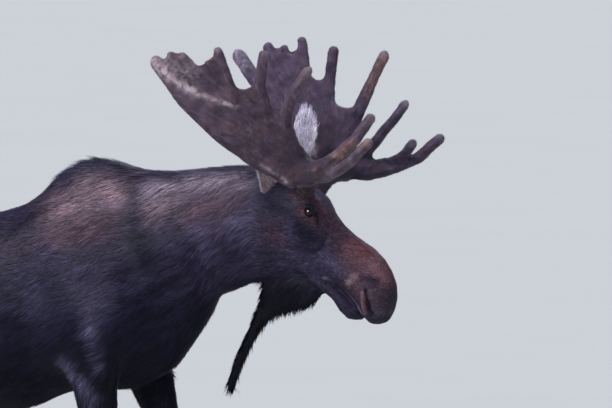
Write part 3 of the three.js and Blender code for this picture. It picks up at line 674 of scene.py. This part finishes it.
def markings(points, owners, normals, surface):
    """The coat's colour at each point, with painted light and shade: the same for the skin and for the hair
    that grows there.
    """

    def share_of(nodes, rounds):
        """1 on the nodes and 0 away from them, with a soft edge."""
        return surface.blur(on_nodes(owners, nodes).astype(float), rounds)

    seen = mirrored(points, np.where(points[:, 1] < MIDDLE_Y, -1, 1))
    height = points[:, 2]
    is_head = share_of(HEAD_NODES, 40)
    is_bell = share_of(["bell"], 6)
    is_leg = share_of([f"{leg}_lower" for leg in LEGS], 12)
    body_streak = 0.5 * streaks(points, 0.06, 3) + 0.5 * streaks(points, 0.022, 4)
    streak = body_streak + is_head * (0.5 + 0.5 * ripple(points, 0.01, 5) - body_streak)
    coat = Layers(COAT_DARK_AND_CREASE_SHADE, len(points))
    blend = coat.blend
    # lighter towards the top and darker below: partly the coat's own colour, partly painted light from the
    # sky above and painted shade underneath
    blend(COAT_UPPER_AND_SKY_LIGHT, smoothstep(1.12, 1.66, height) * (0.7 + 0.3 * streak))
    blend(BLACK_AND_PAINTED_SHADE, 0.85 * (1 - smoothstep(0.95, 1.25, height)))
    blend(FACE_GREY, 0.8 * is_head * (0.5 + streak))
    # the middle of the back and of the neck is blue-black: dark, with a painted blue sheen of the sky along
    # the top
    on_top = (1 - smoothstep(0.02, 0.07, seen[:, 1] - MIDDLE_Y)) * smoothstep(1.5, 1.65, height)
    blend(BACK_BLACK_AND_SKY_SHEEN, 0.9 * on_top * (1 - is_head))
    for marks, place, shown in ((BODY_MARKS, on_body, 1 - is_head), (HEAD_MARKS, on_head, is_head)):
        for way, radius, target, strength, broken in laid(place, marks):
            near = mound(way_distance(seen, way), radius)
            blend(target, shown * strength * near * (1 - broken + 2 * broken * (streak - 0.25)))
    blend(BELL_BLACK, is_bell)
    for name in SIDES:
        _, up, _, beyond = eye_view(points, name)
        near = distances(points, EYES[name]) < EYE_RIM
        # painted shade in the upper lid's fold
        fold = mound(beyond - UPPER_FOLD, 0.0035) * smoothstep(0.001, 0.007, up)
        blend(BLACK_AND_PAINTED_SHADE, near * 0.8 * fold)
        # the lids' own dark margins
        blend(BLACK_AND_PAINTED_SHADE, near * (1 - smoothstep(0.001, 0.0035, beyond)))
    blend(LEG_GREY, 0.6 * is_leg * smoothstep(0.8, 0.45, height) * (0.7 + 0.3 * streak))
    for name in SIDES:
        root, axis, face, across = ear_frame(name)
        ours = owners == FLESH.index(f"ear_{name}")
        edge = np.abs((points - root) @ across) / EAR_HALF_WIDTH
        blend(EAR_GREY, 0.95 * ours * smoothstep(0.0, 0.08, (points - root) @ axis))
        blend(EAR_BROWN, 0.8 * ours * smoothstep(-0.1, 0.3, normals @ face))
        blend(EAR_FRINGE, 0.8 * ours * smoothstep(0.6, 0.95, edge))
    return coat.colours


# ---- materials ----

class Nodes:
    """Short names for building a material's nodes."""

    def __init__(self, name):
        self.material = bpy.data.materials.new(name)
        self.material.use_nodes = True
        self.tree = self.material.node_tree
        self.shader = self.tree.nodes["Principled BSDF"]

    def add(self, kind, links=None, **settings):
        node = self.tree.nodes.new(kind)
        for key, value in settings.items():
            setattr(node, key, value)
        for key, value in (links or {}).items():
            self.set(node.inputs[key], value)
        return node

    def set(self, socket, value):
        if isinstance(value, bpy.types.NodeSocket):
            self.tree.links.new(value, socket)
        else:
            socket.default_value = value

    def finish(self, **inputs):
        for key, value in inputs.items():
            self.set(self.shader.inputs[key.replace("_", " ")], value)
        return self.material

    def place(self, turn=0.0, scale=(1, 1, 1)):
        """Object coordinates, turned about Y and stretched."""
        place = self.add("ShaderNodeTexCoord").outputs["Object"]
        turned = self.add("ShaderNodeMapping", {"Vector": place, "Rotation": (0, turn, 0)})
        return self.add("ShaderNodeMapping", {"Vector": turned.outputs[0], "Scale": scale}).outputs[0]

    def tint(self):
        """The mesh's own colours."""
        return self.add("ShaderNodeAttribute", attribute_name="tint").outputs["Color"]

    def product(self, first, second):
        return self.add("ShaderNodeMath", {0: first, 1: second}, operation="MULTIPLY").outputs[0]

    def noise(self, vector, scale, detail=3.0, roughness=0.55):
        links = {"Vector": vector, "Scale": scale, "Detail": detail, "Roughness": roughness}
        return self.add("ShaderNodeTexNoise", links).outputs["Fac"]

    def ramp(self, value, low, high, start=0.3, end=0.7):
        links = {"Value": value, "From Min": start, "From Max": end, "To Min": low, "To Max": high}
        return self.add("ShaderNodeMapRange", links).outputs[0]

    def scaled(self, colour, factor):
        mix = self.add("ShaderNodeVectorMath", {0: colour, "Scale": factor}, operation="SCALE")
        return mix.outputs[0]

    def bump(self, height, distance, strength=1.0):
        links = {"Height": height, "Distance": distance, "Strength": strength}
        return self.add("ShaderNodeBump", links).outputs[0]


def hair_material(name, roughness, specular, bump):
    nodes = Nodes(name)
    lie = nodes.place(radians(-28), (14, 70, 70))
    fine = nodes.noise(lie, 4.0, 4.0, 0.6)
    broad = nodes.noise(nodes.place(), 9.0, 3.0)
    shade = nodes.product(nodes.ramp(fine, 0.7, 1.3), nodes.ramp(broad, 0.85, 1.15))
    return nodes.finish(
        Base_Color=nodes.scaled(nodes.tint(), shade),
        Roughness=roughness,
        Specular_IOR_Level=specular,
        Specular_Tint=(0.8, 0.84, 1.0, 1),
        Sheen_Weight=0.04,
        Sheen_Roughness=0.4,
        Sheen_Tint=(0.62, 0.66, 0.9, 1),
        Normal=nodes.bump(fine, bump),
    )


SKIN = hair_material("short_coat", 0.5, 0.12, 0.003)
TUFT = hair_material("coat_hair", 0.42, 0.18, 0.0005)


def cornea_material():
    nodes = Nodes("wet_eye")
    threads = nodes.noise(nodes.place(), 900.0, 2.0)
    return nodes.finish(
        Base_Color=nodes.scaled(nodes.tint(), nodes.ramp(threads, 0.7, 1.2)),
        Roughness=0.08,
        Specular_IOR_Level=0.1,
        Coat_Weight=0.5,
        Coat_Roughness=0.02,
    )


def velvet_material():
    nodes = Nodes("antler_velvet")
    fuzz = nodes.noise(nodes.place(), 420.0, 3.0, 0.6)
    broad = nodes.noise(nodes.place(), 22.0, 4.0)
    shade = nodes.product(nodes.ramp(broad, 0.72, 1.25), nodes.ramp(fuzz, 0.85, 1.15))
    return nodes.finish(
        Base_Color=nodes.scaled(nodes.tint(), shade),
        Roughness=0.8,
        Specular_IOR_Level=0.2,
        Sheen_Weight=0.4,
        Sheen_Roughness=0.3,
        Sheen_Tint=(0.88, 0.84, 0.95, 1),
        Normal=nodes.bump(fuzz, 0.0012),
    )


def horn_material():
    nodes = Nodes("hoof_horn")
    rings = nodes.noise(nodes.place(0, (6, 6, 90)), 3.0, 3.0)
    worn = nodes.noise(nodes.place(), 40.0, 4.0)
    ramp = nodes.add("ShaderNodeValToRGB", {"Fac": worn})
    for stop, position, colour in zip(ramp.color_ramp.elements, (0.35, 0.75), (HORN_DARK, HORN_WORN)):
        stop.position = position
        stop.color = (*colour, 1)
    return nodes.finish(
        Base_Color=ramp.outputs[0],
        Roughness=nodes.ramp(worn, 0.35, 0.65),
        Normal=nodes.bump(rings, 0.0015),
    )


# ---- tufts ----

# A tuft is a closed spike that lies along the coat: rings of three points, left, right and top, and a tip.
# Each ring: [share of the length, share of the height, share of the width, shade]; the shade is darker at
# the root, as painted shade deep in the coat.
SHORT_TUFT = [(0.0, -0.12, 1.0, 0.6)]
LONG_TUFT = [(0.0, -0.12, 0.8, 0.6), (0.45, 0.75, 1.0, 0.95)]
TIP_SHADE = 1.3
TUFT_THICK = 0.34
PATCH = 0.003  # a tuft's size on the coat's map
# How far the hair's way turns, in locks and hair by hair, and how its size and shade differ.
SWIRL, STRAY = 0.28, 0.12
LENGTH_RANGE, WIDTH_RANGE, HEIGHT_RANGE = (0.6, 1.3), (0.7, 1.3), (0.45, 0.95)
LOCK_CONTRAST, HAIR_CONTRAST, SHADE_RANGE = 0.65, 0.32, (0.3, 2.6)
PALE_SHARE, PALE_SHADE = 0.05, 1.8


def spike_triangles(rings):
    triangles = [[0, 2, 1]]
    for low in range(0, 3 * rings - 3, 3):
        for corner in range(3):
            after = (corner + 1) % 3
            triangles += [[low + corner, low + after, low + 3 + after],
                          [low + corner, low + 3 + after, low + 3 + corner]]
    last = 3 * rings - 3
    triangles += [[last + corner, last + (corner + 1) % 3, last + 3] for corner in range(3)]
    return np.array(triangles)


def scatter(points, triangles, apart, draw):
    """Random places on the triangles, about `apart` from each other: [triangle, shares of its corners]."""
    first, second, third = points[triangles].transpose(1, 0, 2)
    areas = distances(np.cross(second - first, third - first), 0) / 2
    wanted = areas / apart[triangles].mean(axis=1) ** 2
    counts = np.floor(wanted + draw.random(len(wanted))).astype(int)
    chosen = np.repeat(np.arange(len(triangles)), counts)
    first, second = draw.random((2, len(chosen)))
    over = first + second > 1
    first, second = np.where(over, 1 - first, first), np.where(over, 1 - second, second)
    return chosen, np.stack([1 - first - second, first, second], axis=1)


def turned(vectors, axes, angles):
    """Vectors turned about axes that they are square to."""
    return vectors * np.cos(angles)[:, None] + np.cross(axes, vectors) * np.sin(angles)[:, None]


def tuft_mesh(name, roots, normals, lies, lengths, widths, heights, tints, places, profile):
    """One mesh of closed tufts that rise from their roots to `heights` and lie along `lies`."""
    count = len(roots)
    across = np.cross(normals, lies)
    rings, bends, shades, corners = [], [], [], []
    for share, rise, wide, shade in profile:
        middle = roots + lies * (lengths * share)[:, None] + normals * (heights * rise)[:, None]
        half = across * (widths * wide / 2)[:, None]
        rings += [middle - half, middle + half, middle + normals * (widths * wide * TUFT_THICK)[:, None]]
        bends += [normals - 0.6 * across, normals + 0.6 * across, normals]
        # the tuft's lower corners are a little darker than its ridge, as painted shade
        shades += [shade * 0.9, shade * 0.9, shade]
        corners += [(-0.5, share - 0.5), (0.5, share - 0.5), (0.0, share - 0.5)]
    rings.append(roots + lies * lengths[:, None] + normals * heights[:, None])
    bends.append(normals)
    shades.append(TIP_SHADE)
    corners.append((0.0, 0.5))
    points = np.stack(rings, axis=1).reshape(-1, 3)
    starts = np.arange(count)[:, None, None] * len(rings)
    triangles = (spike_triangles(len(profile))[None] + starts).reshape(-1, 3)
    mesh = triangle_mesh(name, points, triangles)
    paint(mesh, "tint", (tints[:, None, :] * np.array(shades)[None, :, None]).reshape(-1, 3))
    spread = places[:, None, :] + np.array(corners)[None] * PATCH
    layer = mesh.uv_layers.new(name="OFBake")
    layer.data.foreach_set("uv", spread.reshape(-1, 2)[triangles.ravel()].astype(np.float32).ravel())
    # light falls on the tufts much as on the body below them
    mesh.polygons.foreach_set("use_smooth", np.ones(len(mesh.polygons), bool))
    mesh.normals_split_custom_set_from_vertices(unit(np.stack(bends, axis=1)).reshape(-1, 3))
    return mesh


def wrap(points, start, end):
    """A point's place on a cylinder round the line from start to end, unrolled on the unit square."""
    axis = unit(end - start)
    side = unit(np.cross(axis, LEFTWARD))
    away = points - start
    along = away @ axis
    along = (along - along.min()) / np.ptp(along)
    turn = np.arctan2(away @ LEFTWARD, away @ side) / (2 * pi) + 0.5
    return np.stack([along, turn], axis=1) * 0.98 + 0.01


def low_of(node):
    """The middle of a node's foot."""
    low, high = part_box(node)
    return np.array([(low.x + high.x) / 2, (low.y + high.y) / 2, low.z])


def leg_coat(leg):
    top = np.array(centre(f"{leg}_upper"))
    return Coat(f"coat_{leg}", [f"{leg}_upper", f"{leg}_lower"], low_of(f"{leg}_lower"), top, 1, SHORT_TUFT)


# Each coat: its flesh nodes, the line that its map is wrapped round, the pieces that it is cut into along
# that line, and the shape of its tufts.
Coat = namedtuple("Coat", "name nodes start end parts tuft")
COATS = [
    Coat("coat_trunk", ["trunk"], on_body(-1.45, 0, 1.3), on_body(0.45, 0, 1.45), 4, SHORT_TUFT),
    Coat("coat_tail", ["tail"], on_body(-1.35, 0, 1.55), on_body(-1.4, 0, 1.35), 1, LONG_TUFT),
    Coat("coat_neck", ["neck"], on_body(0.15, 0, 1.5), on_body(0.8, 0, 1.65), 2, SHORT_TUFT),
    Coat("coat_head", HEAD_NODES, on_head(-0.1, 0, -0.03), on_head(0.75, 0, -0.03), 1, SHORT_TUFT),
    Coat("coat_bell", ["bell"], on_body(0.62, 0, 0.93), on_body(0.86, 0, 1.48), 1, LONG_TUFT),
]
COATS += [Coat(f"coat_ear_{name}", [f"ear_{name}"], *EAR_PLACES[name][:2], 1, SHORT_TUFT) for name in SIDES]
COATS += [leg_coat(leg) for leg in LEGS]

# What hair needs at each point of the surface that it grows from.
Ground = namedtuple("Ground", "points normals triangles owners combs lengths widths aparts depths colours")


def coat_ground(mesh):
    points, normals = points_of(mesh), normals_of(mesh)
    surface = Surface(mesh)
    owners = owners_of(points)
    combs = np.array([region.comb for region in NODE_REGIONS])[owners]
    for name in SIDES:
        combs[owners == FLESH.index(f"ear_{name}")] = ear_frame(name)[1]
    tall = crest(points)
    nose = smoothstep(0.35, 0.62, in_head(points)[:, 0]) * (owners == FLESH.index("head"))
    lengths, widths, aparts = (surface.blur(region_values(owners, field), 8)
                               for field in ("length", "width", "apart"))
    for name in SIDES:
        near = distances(points, EYES[name]) < EYE_REGION
        lengths *= 1 - 0.6 * near * (1 - smoothstep(0.004, 0.022, eye_view(points, name)[3]))
    return Ground(
        points=points,
        normals=normals,
        triangles=triangles_of(mesh),
        owners=owners,
        combs=surface.blur(unit(combs), 12),
        lengths=lengths * (1 + 0.5 * tall) * (1 - 0.4 * nose),
        widths=widths * (1 - 0.2 * nose),
        aparts=aparts * (1 - 0.08 * nose),
        depths=coat_depth(points, owners, surface) + CREST_EXTRA * tall,
        colours=markings(points, owners, normals, surface),
    )


def grow(ground, growing, coat, seed, material, slot):
    """A coat's hair, on the ground's triangles where it is growing."""
    draw = np.random.default_rng(seed)
    triangles = ground.triangles[growing[ground.triangles[:, 0]]]
    chosen, shares = scatter(ground.points, triangles, ground.aparts, draw)
    clear = away_from_openings((ground.points[triangles[chosen]] * shares[:, :, None]).sum(axis=1))
    chosen, shares = chosen[clear], shares[clear]
    corners = triangles[chosen]

    def at(values):
        share = shares if values.ndim == 1 else shares[:, :, None]
        return (values[corners] * share).sum(axis=1)

    count = len(chosen)
    roots = at(ground.points)
    normals = unit(at(ground.normals))
    combs = at(ground.combs)
    lies = unit(combs - normals * along_each(combs, normals)[:, None])
    lies = turned(lies, normals, SWIRL * ripple(roots, 0.18, 11) + draw.normal(0, STRAY, count))
    lengths = at(ground.lengths) * draw.uniform(*LENGTH_RANGE, count)
    widths = at(ground.widths) * draw.uniform(*WIDTH_RANGE, count)
    heights = at(ground.depths) * draw.uniform(*HEIGHT_RANGE, count)
    on_face = coat.name in ("coat_head", "coat_pedicle_right", "coat_pedicle_left")
    lock = sum(streaks(roots, size * (0.4 if on_face else 1), 12 + level) - 0.5
               for level, size in enumerate((0.04, 0.022, 0.012)))
    shade = (1 + LOCK_CONTRAST * lock + draw.normal(0, HAIR_CONTRAST, count)).clip(*SHADE_RANGE)
    shade *= np.where(draw.random(count) < PALE_SHARE, PALE_SHADE, 1.0)
    tints = at(ground.colours) * shade[:, None]
    station = (roots - coat.start) @ (coat.end - coat.start)
    part = np.argsort(np.argsort(station)) * coat.parts // count
    for number in range(coat.parts):
        us = part == number
        name = coat.name if coat.parts == 1 else f"{coat.name}_{number + 1}"
        ours = [values[us] for values in (roots, normals, lies, lengths, widths, heights, tints)]
        mesh = tuft_mesh(name, *ours, wrap(roots[us], coat.start, coat.end), coat.tuft)
        show(name, mesh, material, slot)


def grow_coat(ground, coat, seed):
    slot = "bell_hair" if coat.name == "coat_bell" else "coat"
    grow(ground, on_nodes(ground.owners, coat.nodes), coat, seed, TUFT, slot)


def away_from_openings(roots):
    """Keeps hair off the eyes, out of the nostrils and out of the mouth."""
    clear = np.ones(len(roots), bool)
    for name, eye in EYES.items():
        near = distances(roots, eye) < EYE_RIM
        clear &= ~near | (eye_view(roots, name)[3] > 0.0035)
    for way, radius, _ in OPENINGS:
        for side in SIDES.values():
            clear &= way_distance(mirrored(roots, side), way) > radius * 1.2
    return clear


# ---- antlers ----

ANTLER_VOXEL = 0.0055
VALLEYS = (0.018, 0.008)  # the radius that valleys are rounded to, in the palm and between the brow tines
VELVET_SKIN = 0.002
VELVET_DARK = srgb(54, 43, 55)
VELVET_MID = srgb(88, 72, 86)
VELVET_PALE_AND_HIGHLIGHT = srgb(122, 114, 134)
VELVET_WARM = srgb(166, 122, 100)
VELVET_PAINTED_RIM_LIGHT = srgb(186, 168, 174)
VELVET_SCAR = srgb(196, 178, 182)
PEDICLE_BROWN = srgb(84, 68, 80)
VELVET_SIDE_SHADE = {"right": 1.0, "left": np.array([0.74, 0.78, 0.94])}  # painted shade: the left one is darker and bluer
PEDICLE_TOP = 1.8  # the head's hair reaches up to here on the antlers


def stub(start, end, radius):
    """A closed tube's points and triangles."""
    sides = 12
    axis = unit(end - start)
    side = unit(np.cross(axis, LEFTWARD))
    other = np.cross(axis, side)
    turns = np.arange(sides) * 2 * pi / sides
    ring = radius * (np.cos(turns)[:, None] * side + np.sin(turns)[:, None] * other)
    after = (np.arange(sides) + 1) % sides
    here = np.arange(sides)
    foot, top = np.full(sides, 2 * sides), np.full(sides, 2 * sides + 1)
    triangles = [np.stack(columns, axis=1) for columns in (
        (here, after, after + sides), (here, after + sides, here + sides),
        (after, here, foot), (here + sides, after + sides, top))]
    return np.concatenate([start + ring, end + ring, [start, end]]), np.concatenate(triangles)


def smoothed(mesh, rounds):
    """Smooths a mesh, and returns its surface."""
    surface = Surface(mesh)
    move_points(mesh, surface.smooth(points_of(mesh), rounds))
    return surface


def on_brow(points):
    """1 on the brow tines and 0 on the palm."""
    return smoothstep(0.98, 1.06, points[:, 0] - WITHERS_X)


def valley(points):
    palm, brow = VALLEYS
    return palm + (brow - palm) * on_brow(points)[:, None]


def antler_shape(nodes, side):
    """An antler as one smooth mesh, with round valleys between its tines, and a root inside the head."""
    points, triangles, _ = swollen(nodes, {"rest": CLOSE_GAPS})
    root_start, root_end = on_head(0.145, side * 0.055, 0.055), on_head(0.118, side * 0.082, 0.15)
    root_points, root_triangles = stub(root_start, root_end, 0.036)
    triangles = np.concatenate([triangles, root_triangles + len(points)])
    dense = remeshed(np.concatenate([points, root_points]), triangles, ANTLER_VOXEL)
    smoothed(dense, np.full(len(dense.vertices), 4.0))
    points = points_of(dense)
    move_points(dense, points + normals_of(dense) * valley(points))
    dense = remeshed(points_of(dense), triangles_of(dense), ANTLER_VOXEL)
    surface = smoothed(dense, np.full(len(dense.vertices), 5.0))
    normals = surface.blur(normals_of(dense), 2)
    points = points_of(dense)
    move_points(dense, points - unit(normals) * (valley(points) + VELVET_SKIN))
    return dense, surface


def antler(name, side, material):
    nodes = [f"antler_{name}_{half}" for half in ("beam", "palm", "brow")]
    dense, surface = antler_shape(nodes, side)
    points = points_of(dense)
    rounded = surface.relax(points, np.full(len(points), 12.0))
    # how sharply the surface bulges: most on the palm's rims and the tines' tips
    bulge = surface.blur(along_each(points - rounded, normals_of(dense)), 5)
    base = on_body(0.94, side * 0.16, 1.87)
    away = unit(points - base)
    reach = distances(points, base)
    ridges = ripple(away, 0.16, 24) * smoothstep(0.08, 0.2, reach)
    lumps = 0.0016 * ridges + 0.0012 * ripple(points, 0.05, 21) + 0.0006 * ripple(points, 0.018, 22)
    move_points(dense, points + normals_of(dense) * lumps[:, None])
    # painted rim light: the bulging rims are painted pale, as if lit from behind, less on the brow tines
    rim = smoothstep(0.0008, 0.003, bulge) * (1 - 0.55 * on_brow(points))
    high = smoothstep(0.2, 0.62, reach)
    velvet = Layers(VELVET_DARK, len(points))
    blend = velvet.blend
    blend(VELVET_MID, 0.35 + 0.65 * high)
    blend(VELVET_DARK, 0.25 * smoothstep(-0.1, 0.8, ripple(points, 0.07, 25)))
    blend(VELVET_WARM, 0.07 * smoothstep(0.0, 0.9, ripple(points, 0.11, 26)))
    vein = smoothstep(0.3, 0.75, ripple(away, 0.045, 27)) - smoothstep(0.3, 0.75, ripple(away, 0.04, 29))
    blend(VELVET_DARK, 0.45 * np.maximum(vein, 0) * smoothstep(0.1, 0.3, reach))
    blend(VELVET_PALE_AND_HIGHLIGHT, 0.25 * np.maximum(-vein, 0) * smoothstep(0.1, 0.3, reach))
    # a painted highlight on the bulging tips far from the base
    blend(VELVET_PALE_AND_HIGHLIGHT, 0.55 * smoothstep(0.48, 0.75, reach) * smoothstep(0.0005, 0.003, bulge))
    blend(VELVET_PAINTED_RIM_LIGHT, 0.75 * rim)
    for way, radius, target, strength in laid(on_body, VELVET_MARKS[name]):
        near = mound(way_distance(points, way), radius)
        blend(target, strength * near * (0.75 + 0.8 * ripple(points, 0.02, 28)))
    # painted shade: the left antler is painted darker and bluer
    velvet.colours = velvet.colours * VELVET_SIDE_SHADE[name]
    blend(PEDICLE_BROWN, 1 - smoothstep(PEDICLE_TOP - 0.02, PEDICLE_TOP + 0.01, points[:, 2]))
    paint(dense, "tint", velvet.colours)
    mesh = through(dense, "DECIMATE", ratio=0.4)
    piece = show(f"antler_velvet_{name}", mesh, material, "velvet")
    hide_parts(*nodes)
    ground = velvet_ground(mesh, base, side)
    furry = ground.points[:, 2] < PEDICLE_TOP
    line = (on_head(0.1, side * 0.08, 0.0), on_head(0.1, side * 0.08, 0.2))
    grow(ground, furry, Coat(f"coat_pedicle_{name}", [], *line, 1, SHORT_TUFT), 40, TUFT, "coat")
    line = (base, on_body(0.45, side * 0.5, 2.3))
    grow(ground, ~furry, Coat(f"velvet_fuzz_{name}", [], *line, 1, SHORT_TUFT), 41, material, "velvet")


def velvet_ground(mesh, base, side):
    """The ground for the velvet's fuzz and, below PEDICLE_TOP, for the hair of the head."""
    points, normals = points_of(mesh), normals_of(mesh)
    furry = points[:, 2] < PEDICLE_TOP
    return Ground(
        points=points,
        normals=normals,
        triangles=triangles_of(mesh),
        owners=np.zeros(len(points), int),
        combs=np.where(furry[:, None], unit(np.array([-0.3, side * 0.5, 1.0])), unit(points - base)),
        lengths=np.where(furry, 0.022, 0.0075),
        widths=np.where(furry, 0.0022, 0.0014),
        aparts=np.where(furry, 0.004, 0.006),
        depths=np.where(furry, 0.006, 0.004),
        colours=read(mesh.color_attributes["tint"].data, "color", 4)[:, :3].astype(float),
    )


# Marks on the velvet: [places, radius, colour, strength]. The pale rim-light marks are painted light.
VELVET_MARKS = {
    "right": [
        ([(425, -526, 2322), (500, -515, 2257), (605, -480, 2195)], 17, VELVET_SCAR, 0.7),
        ([(560, -495, 2222), (660, -463, 2172), (760, -427, 2138)], 9, VELVET_SCAR, 0.65),
        ([(470, -520, 2300), (580, -520, 2280)], 45, VELVET_PAINTED_RIM_LIGHT, 0.45),
        ([(1176, -337, 1936), (1215, -303, 1972), (1320, -437, 2012)], 26, VELVET_WARM, 0.45),
        ([(844, -365, 1893), (928, -320, 1834), (938, -162, 1797)], 9, VELVET_PAINTED_RIM_LIGHT, 0.7),
    ], "left": [
        ([(1048, 405, 2165), (1082, 415, 2255), (1100, 420, 2305)], 32, VELVET_WARM, 0.6),
        ([(445, 465, 2285), (425, 474, 2320)], 45, VELVET_PAINTED_RIM_LIGHT, 0.6),
        ([(800, 314, 1940), (835, 310, 1925)], 22, VELVET_SCAR, 0.7),
    ],
}


# ---- eyes, hooves ----

# The cornea is flatter over a small cap: its way from the eye's middle, how wide it is, and how flat.
FLATTER = {"ahead": 0.062, "out": 0.972, "up": 0.226, "wide": cos(radians(13)), "flat": 0.7}


def eyeball(name, side, material):
    work = bmesh.new()
    bmesh.ops.create_uvsphere(work, u_segments=120, v_segments=80, radius=1.0)
    mesh = bpy.data.meshes.new(f"eyeball_{name}")
    work.to_mesh(mesh)
    work.free()
    points = points_of(mesh)
    outward, long_axis, short_axis = eye_axes(0.3, side)
    out = points @ outward
    swell = 1 + 0.03 * smoothstep(0.6, 0.9, out)
    lean = points @ unit(np.array([FLATTER["ahead"], side * FLATTER["out"], FLATTER["up"]]))
    flat = FLATTER["flat"] * (1 - FLATTER["wide"] / np.maximum(lean, 0.1))
    swell *= np.where(lean > FLATTER["wide"], 1 - flat, 1)
    iris = smoothstep(0.6, 0.66, out)
    pupil = (out > 0) & (np.hypot(points @ long_axis / 0.5, points @ short_axis / 0.22) < 1)
    colours = EYE_WHITE * (1 - iris[:, None]) + IRIS * iris[:, None]
    colours[pupil] = PUPIL
    move_points(mesh, EYES[name] + points * (EYE_RADIUS * 0.97 * swell)[:, None])
    paint(mesh, "tint", colours)
    piece = show(f"eyeball_{name}", mesh, material, "cornea")
    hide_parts(f"eye_{name}")


HORN_VOXEL = 0.0035
SOLE = 0.002
RING = {"high": 0.0005, "apart": 0.009}


def horn_piece(node, material):
    """A hoof or a dewclaw: its solid, rounded, with its sole kept flat."""
    points, triangles, _ = swollen([node], {"rest": 0.0})
    dense = remeshed(points, triangles, HORN_VOXEL)
    surface = Surface(dense)
    points = points_of(dense)
    points = surface.smooth(points, np.where(points[:, 2] < SOLE, 0.0, 7.0))
    height = points[:, 2]
    rings = RING["high"] * np.sin(height * 2 * pi / RING["apart"]) * smoothstep(0.006, 0.012, height)
    move_points(dense, points)
    points = points + normals_of(dense) * rings[:, None]
    points[:, 2] = np.maximum(points[:, 2], 0)
    move_points(dense, points)
    piece = show(f"horn_{node}", dense, material, "horn")
    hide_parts(node)


# ---- camera, light, floor ----

CAMERA_AZIMUTH = 20
CAMERA_RISE = 3
CAMERA_DISTANCE = 40.0
SENSOR = 36.0
PIXELS_PER_METRE = 242.0
FRAME_WIDTH = 612.0
TARGET = on_body(0.905, 0, 1.722)
# Each sun: azimuth, rise, strength, spread and colour.
SUNS = {
    "key": (-28, 58, 2.3, 18, (1.0, 0.95, 0.93)),
    "fill": (-14, 22, 1.3, 14, (0.88, 0.92, 1.0)),
    "rim": (170, 42, 1.3, 25, (0.86, 0.9, 1.0)),
}
SKY_COLOUR = (0.74, 0.82, 1.0, 1)
SKY_STRENGTH = 0.42
FLOOR_COLOUR = (0.46, 0.47, 0.47)
FLOOR_HALF = 300


def way_back(azimuth, rise):
    """The way from the moose to a camera or a light."""
    azimuth, rise = radians(azimuth), radians(rise)
    return Vector((sin(azimuth) * cos(rise), -cos(azimuth) * cos(rise), sin(rise)))


def add_camera():
    data = bpy.data.cameras.new("camera")
    data.sensor_width = SENSOR
    data.lens = SENSOR * PIXELS_PER_METRE * CAMERA_DISTANCE / FRAME_WIDTH
    data.clip_end = 600
    camera = placed("camera", data)
    back = way_back(CAMERA_AZIMUTH, CAMERA_RISE)
    camera.location = Vector(TARGET) + back * CAMERA_DISTANCE
    camera.rotation_euler = back.to_track_quat("Z", "Y").to_euler()
    bpy.context.scene.camera = camera


def add_sun(name, azimuth, rise, strength, spread, colour):
    data = bpy.data.lights.new(name, "SUN")
    data.energy = strength
    data.angle = radians(spread)
    data.color = colour
    light = placed(name, data)
    light.rotation_euler = way_back(azimuth, rise).to_track_quat("Z", "Y").to_euler()


def add_surroundings():
    world = bpy.data.worlds.new("studio")
    world.use_nodes = True
    background = world.node_tree.nodes["Background"]
    background.inputs["Color"].default_value = SKY_COLOUR
    background.inputs["Strength"].default_value = SKY_STRENGTH
    bpy.context.scene.world = world
    for name, sun in SUNS.items():
        add_sun(name, *sun)
    bpy.context.scene.view_settings.view_transform = "Standard"

    mesh = bpy.data.meshes.new("floor")
    corners = [(-1, -1, 0), (1, -1, 0), (1, 1, 0), (-1, 1, 0)]
    mesh.from_pydata([Vector(corner) * FLOOR_HALF for corner in corners], [], [(0, 1, 2, 3)])
    floor = placed("floor", mesh)
    nodes = Nodes("pale_floor")
    grain = nodes.ramp(nodes.noise(nodes.place(), 0.6, 2.0), 0.99, 1.01)
    mesh.materials.append(nodes.finish(
        Base_Color=nodes.scaled(FLOOR_COLOUR, grain), Roughness=0.9, Specular_IOR_Level=0.2))


# ---- the moose ----

add_camera()
add_surroundings()

skin = skin_mesh()
ground = coat_ground(skin)
paint(skin, "tint", ground.colours * SKIN_SHADE)
hide = show("skin", skin, SKIN, "coat")
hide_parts(*FLESH)
for seed, coat in enumerate(COATS):
    grow_coat(ground, coat, seed)

velvet = velvet_material()
cornea = cornea_material()
horn = horn_material()
for side_name, side in SIDES.items():
    antler(side_name, side, velvet)
    eyeball(side_name, side, cornea)
for node in sorted(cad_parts):
    if node.startswith(("hoof_", "dewclaw_")):
        horn_piece(node, horn)
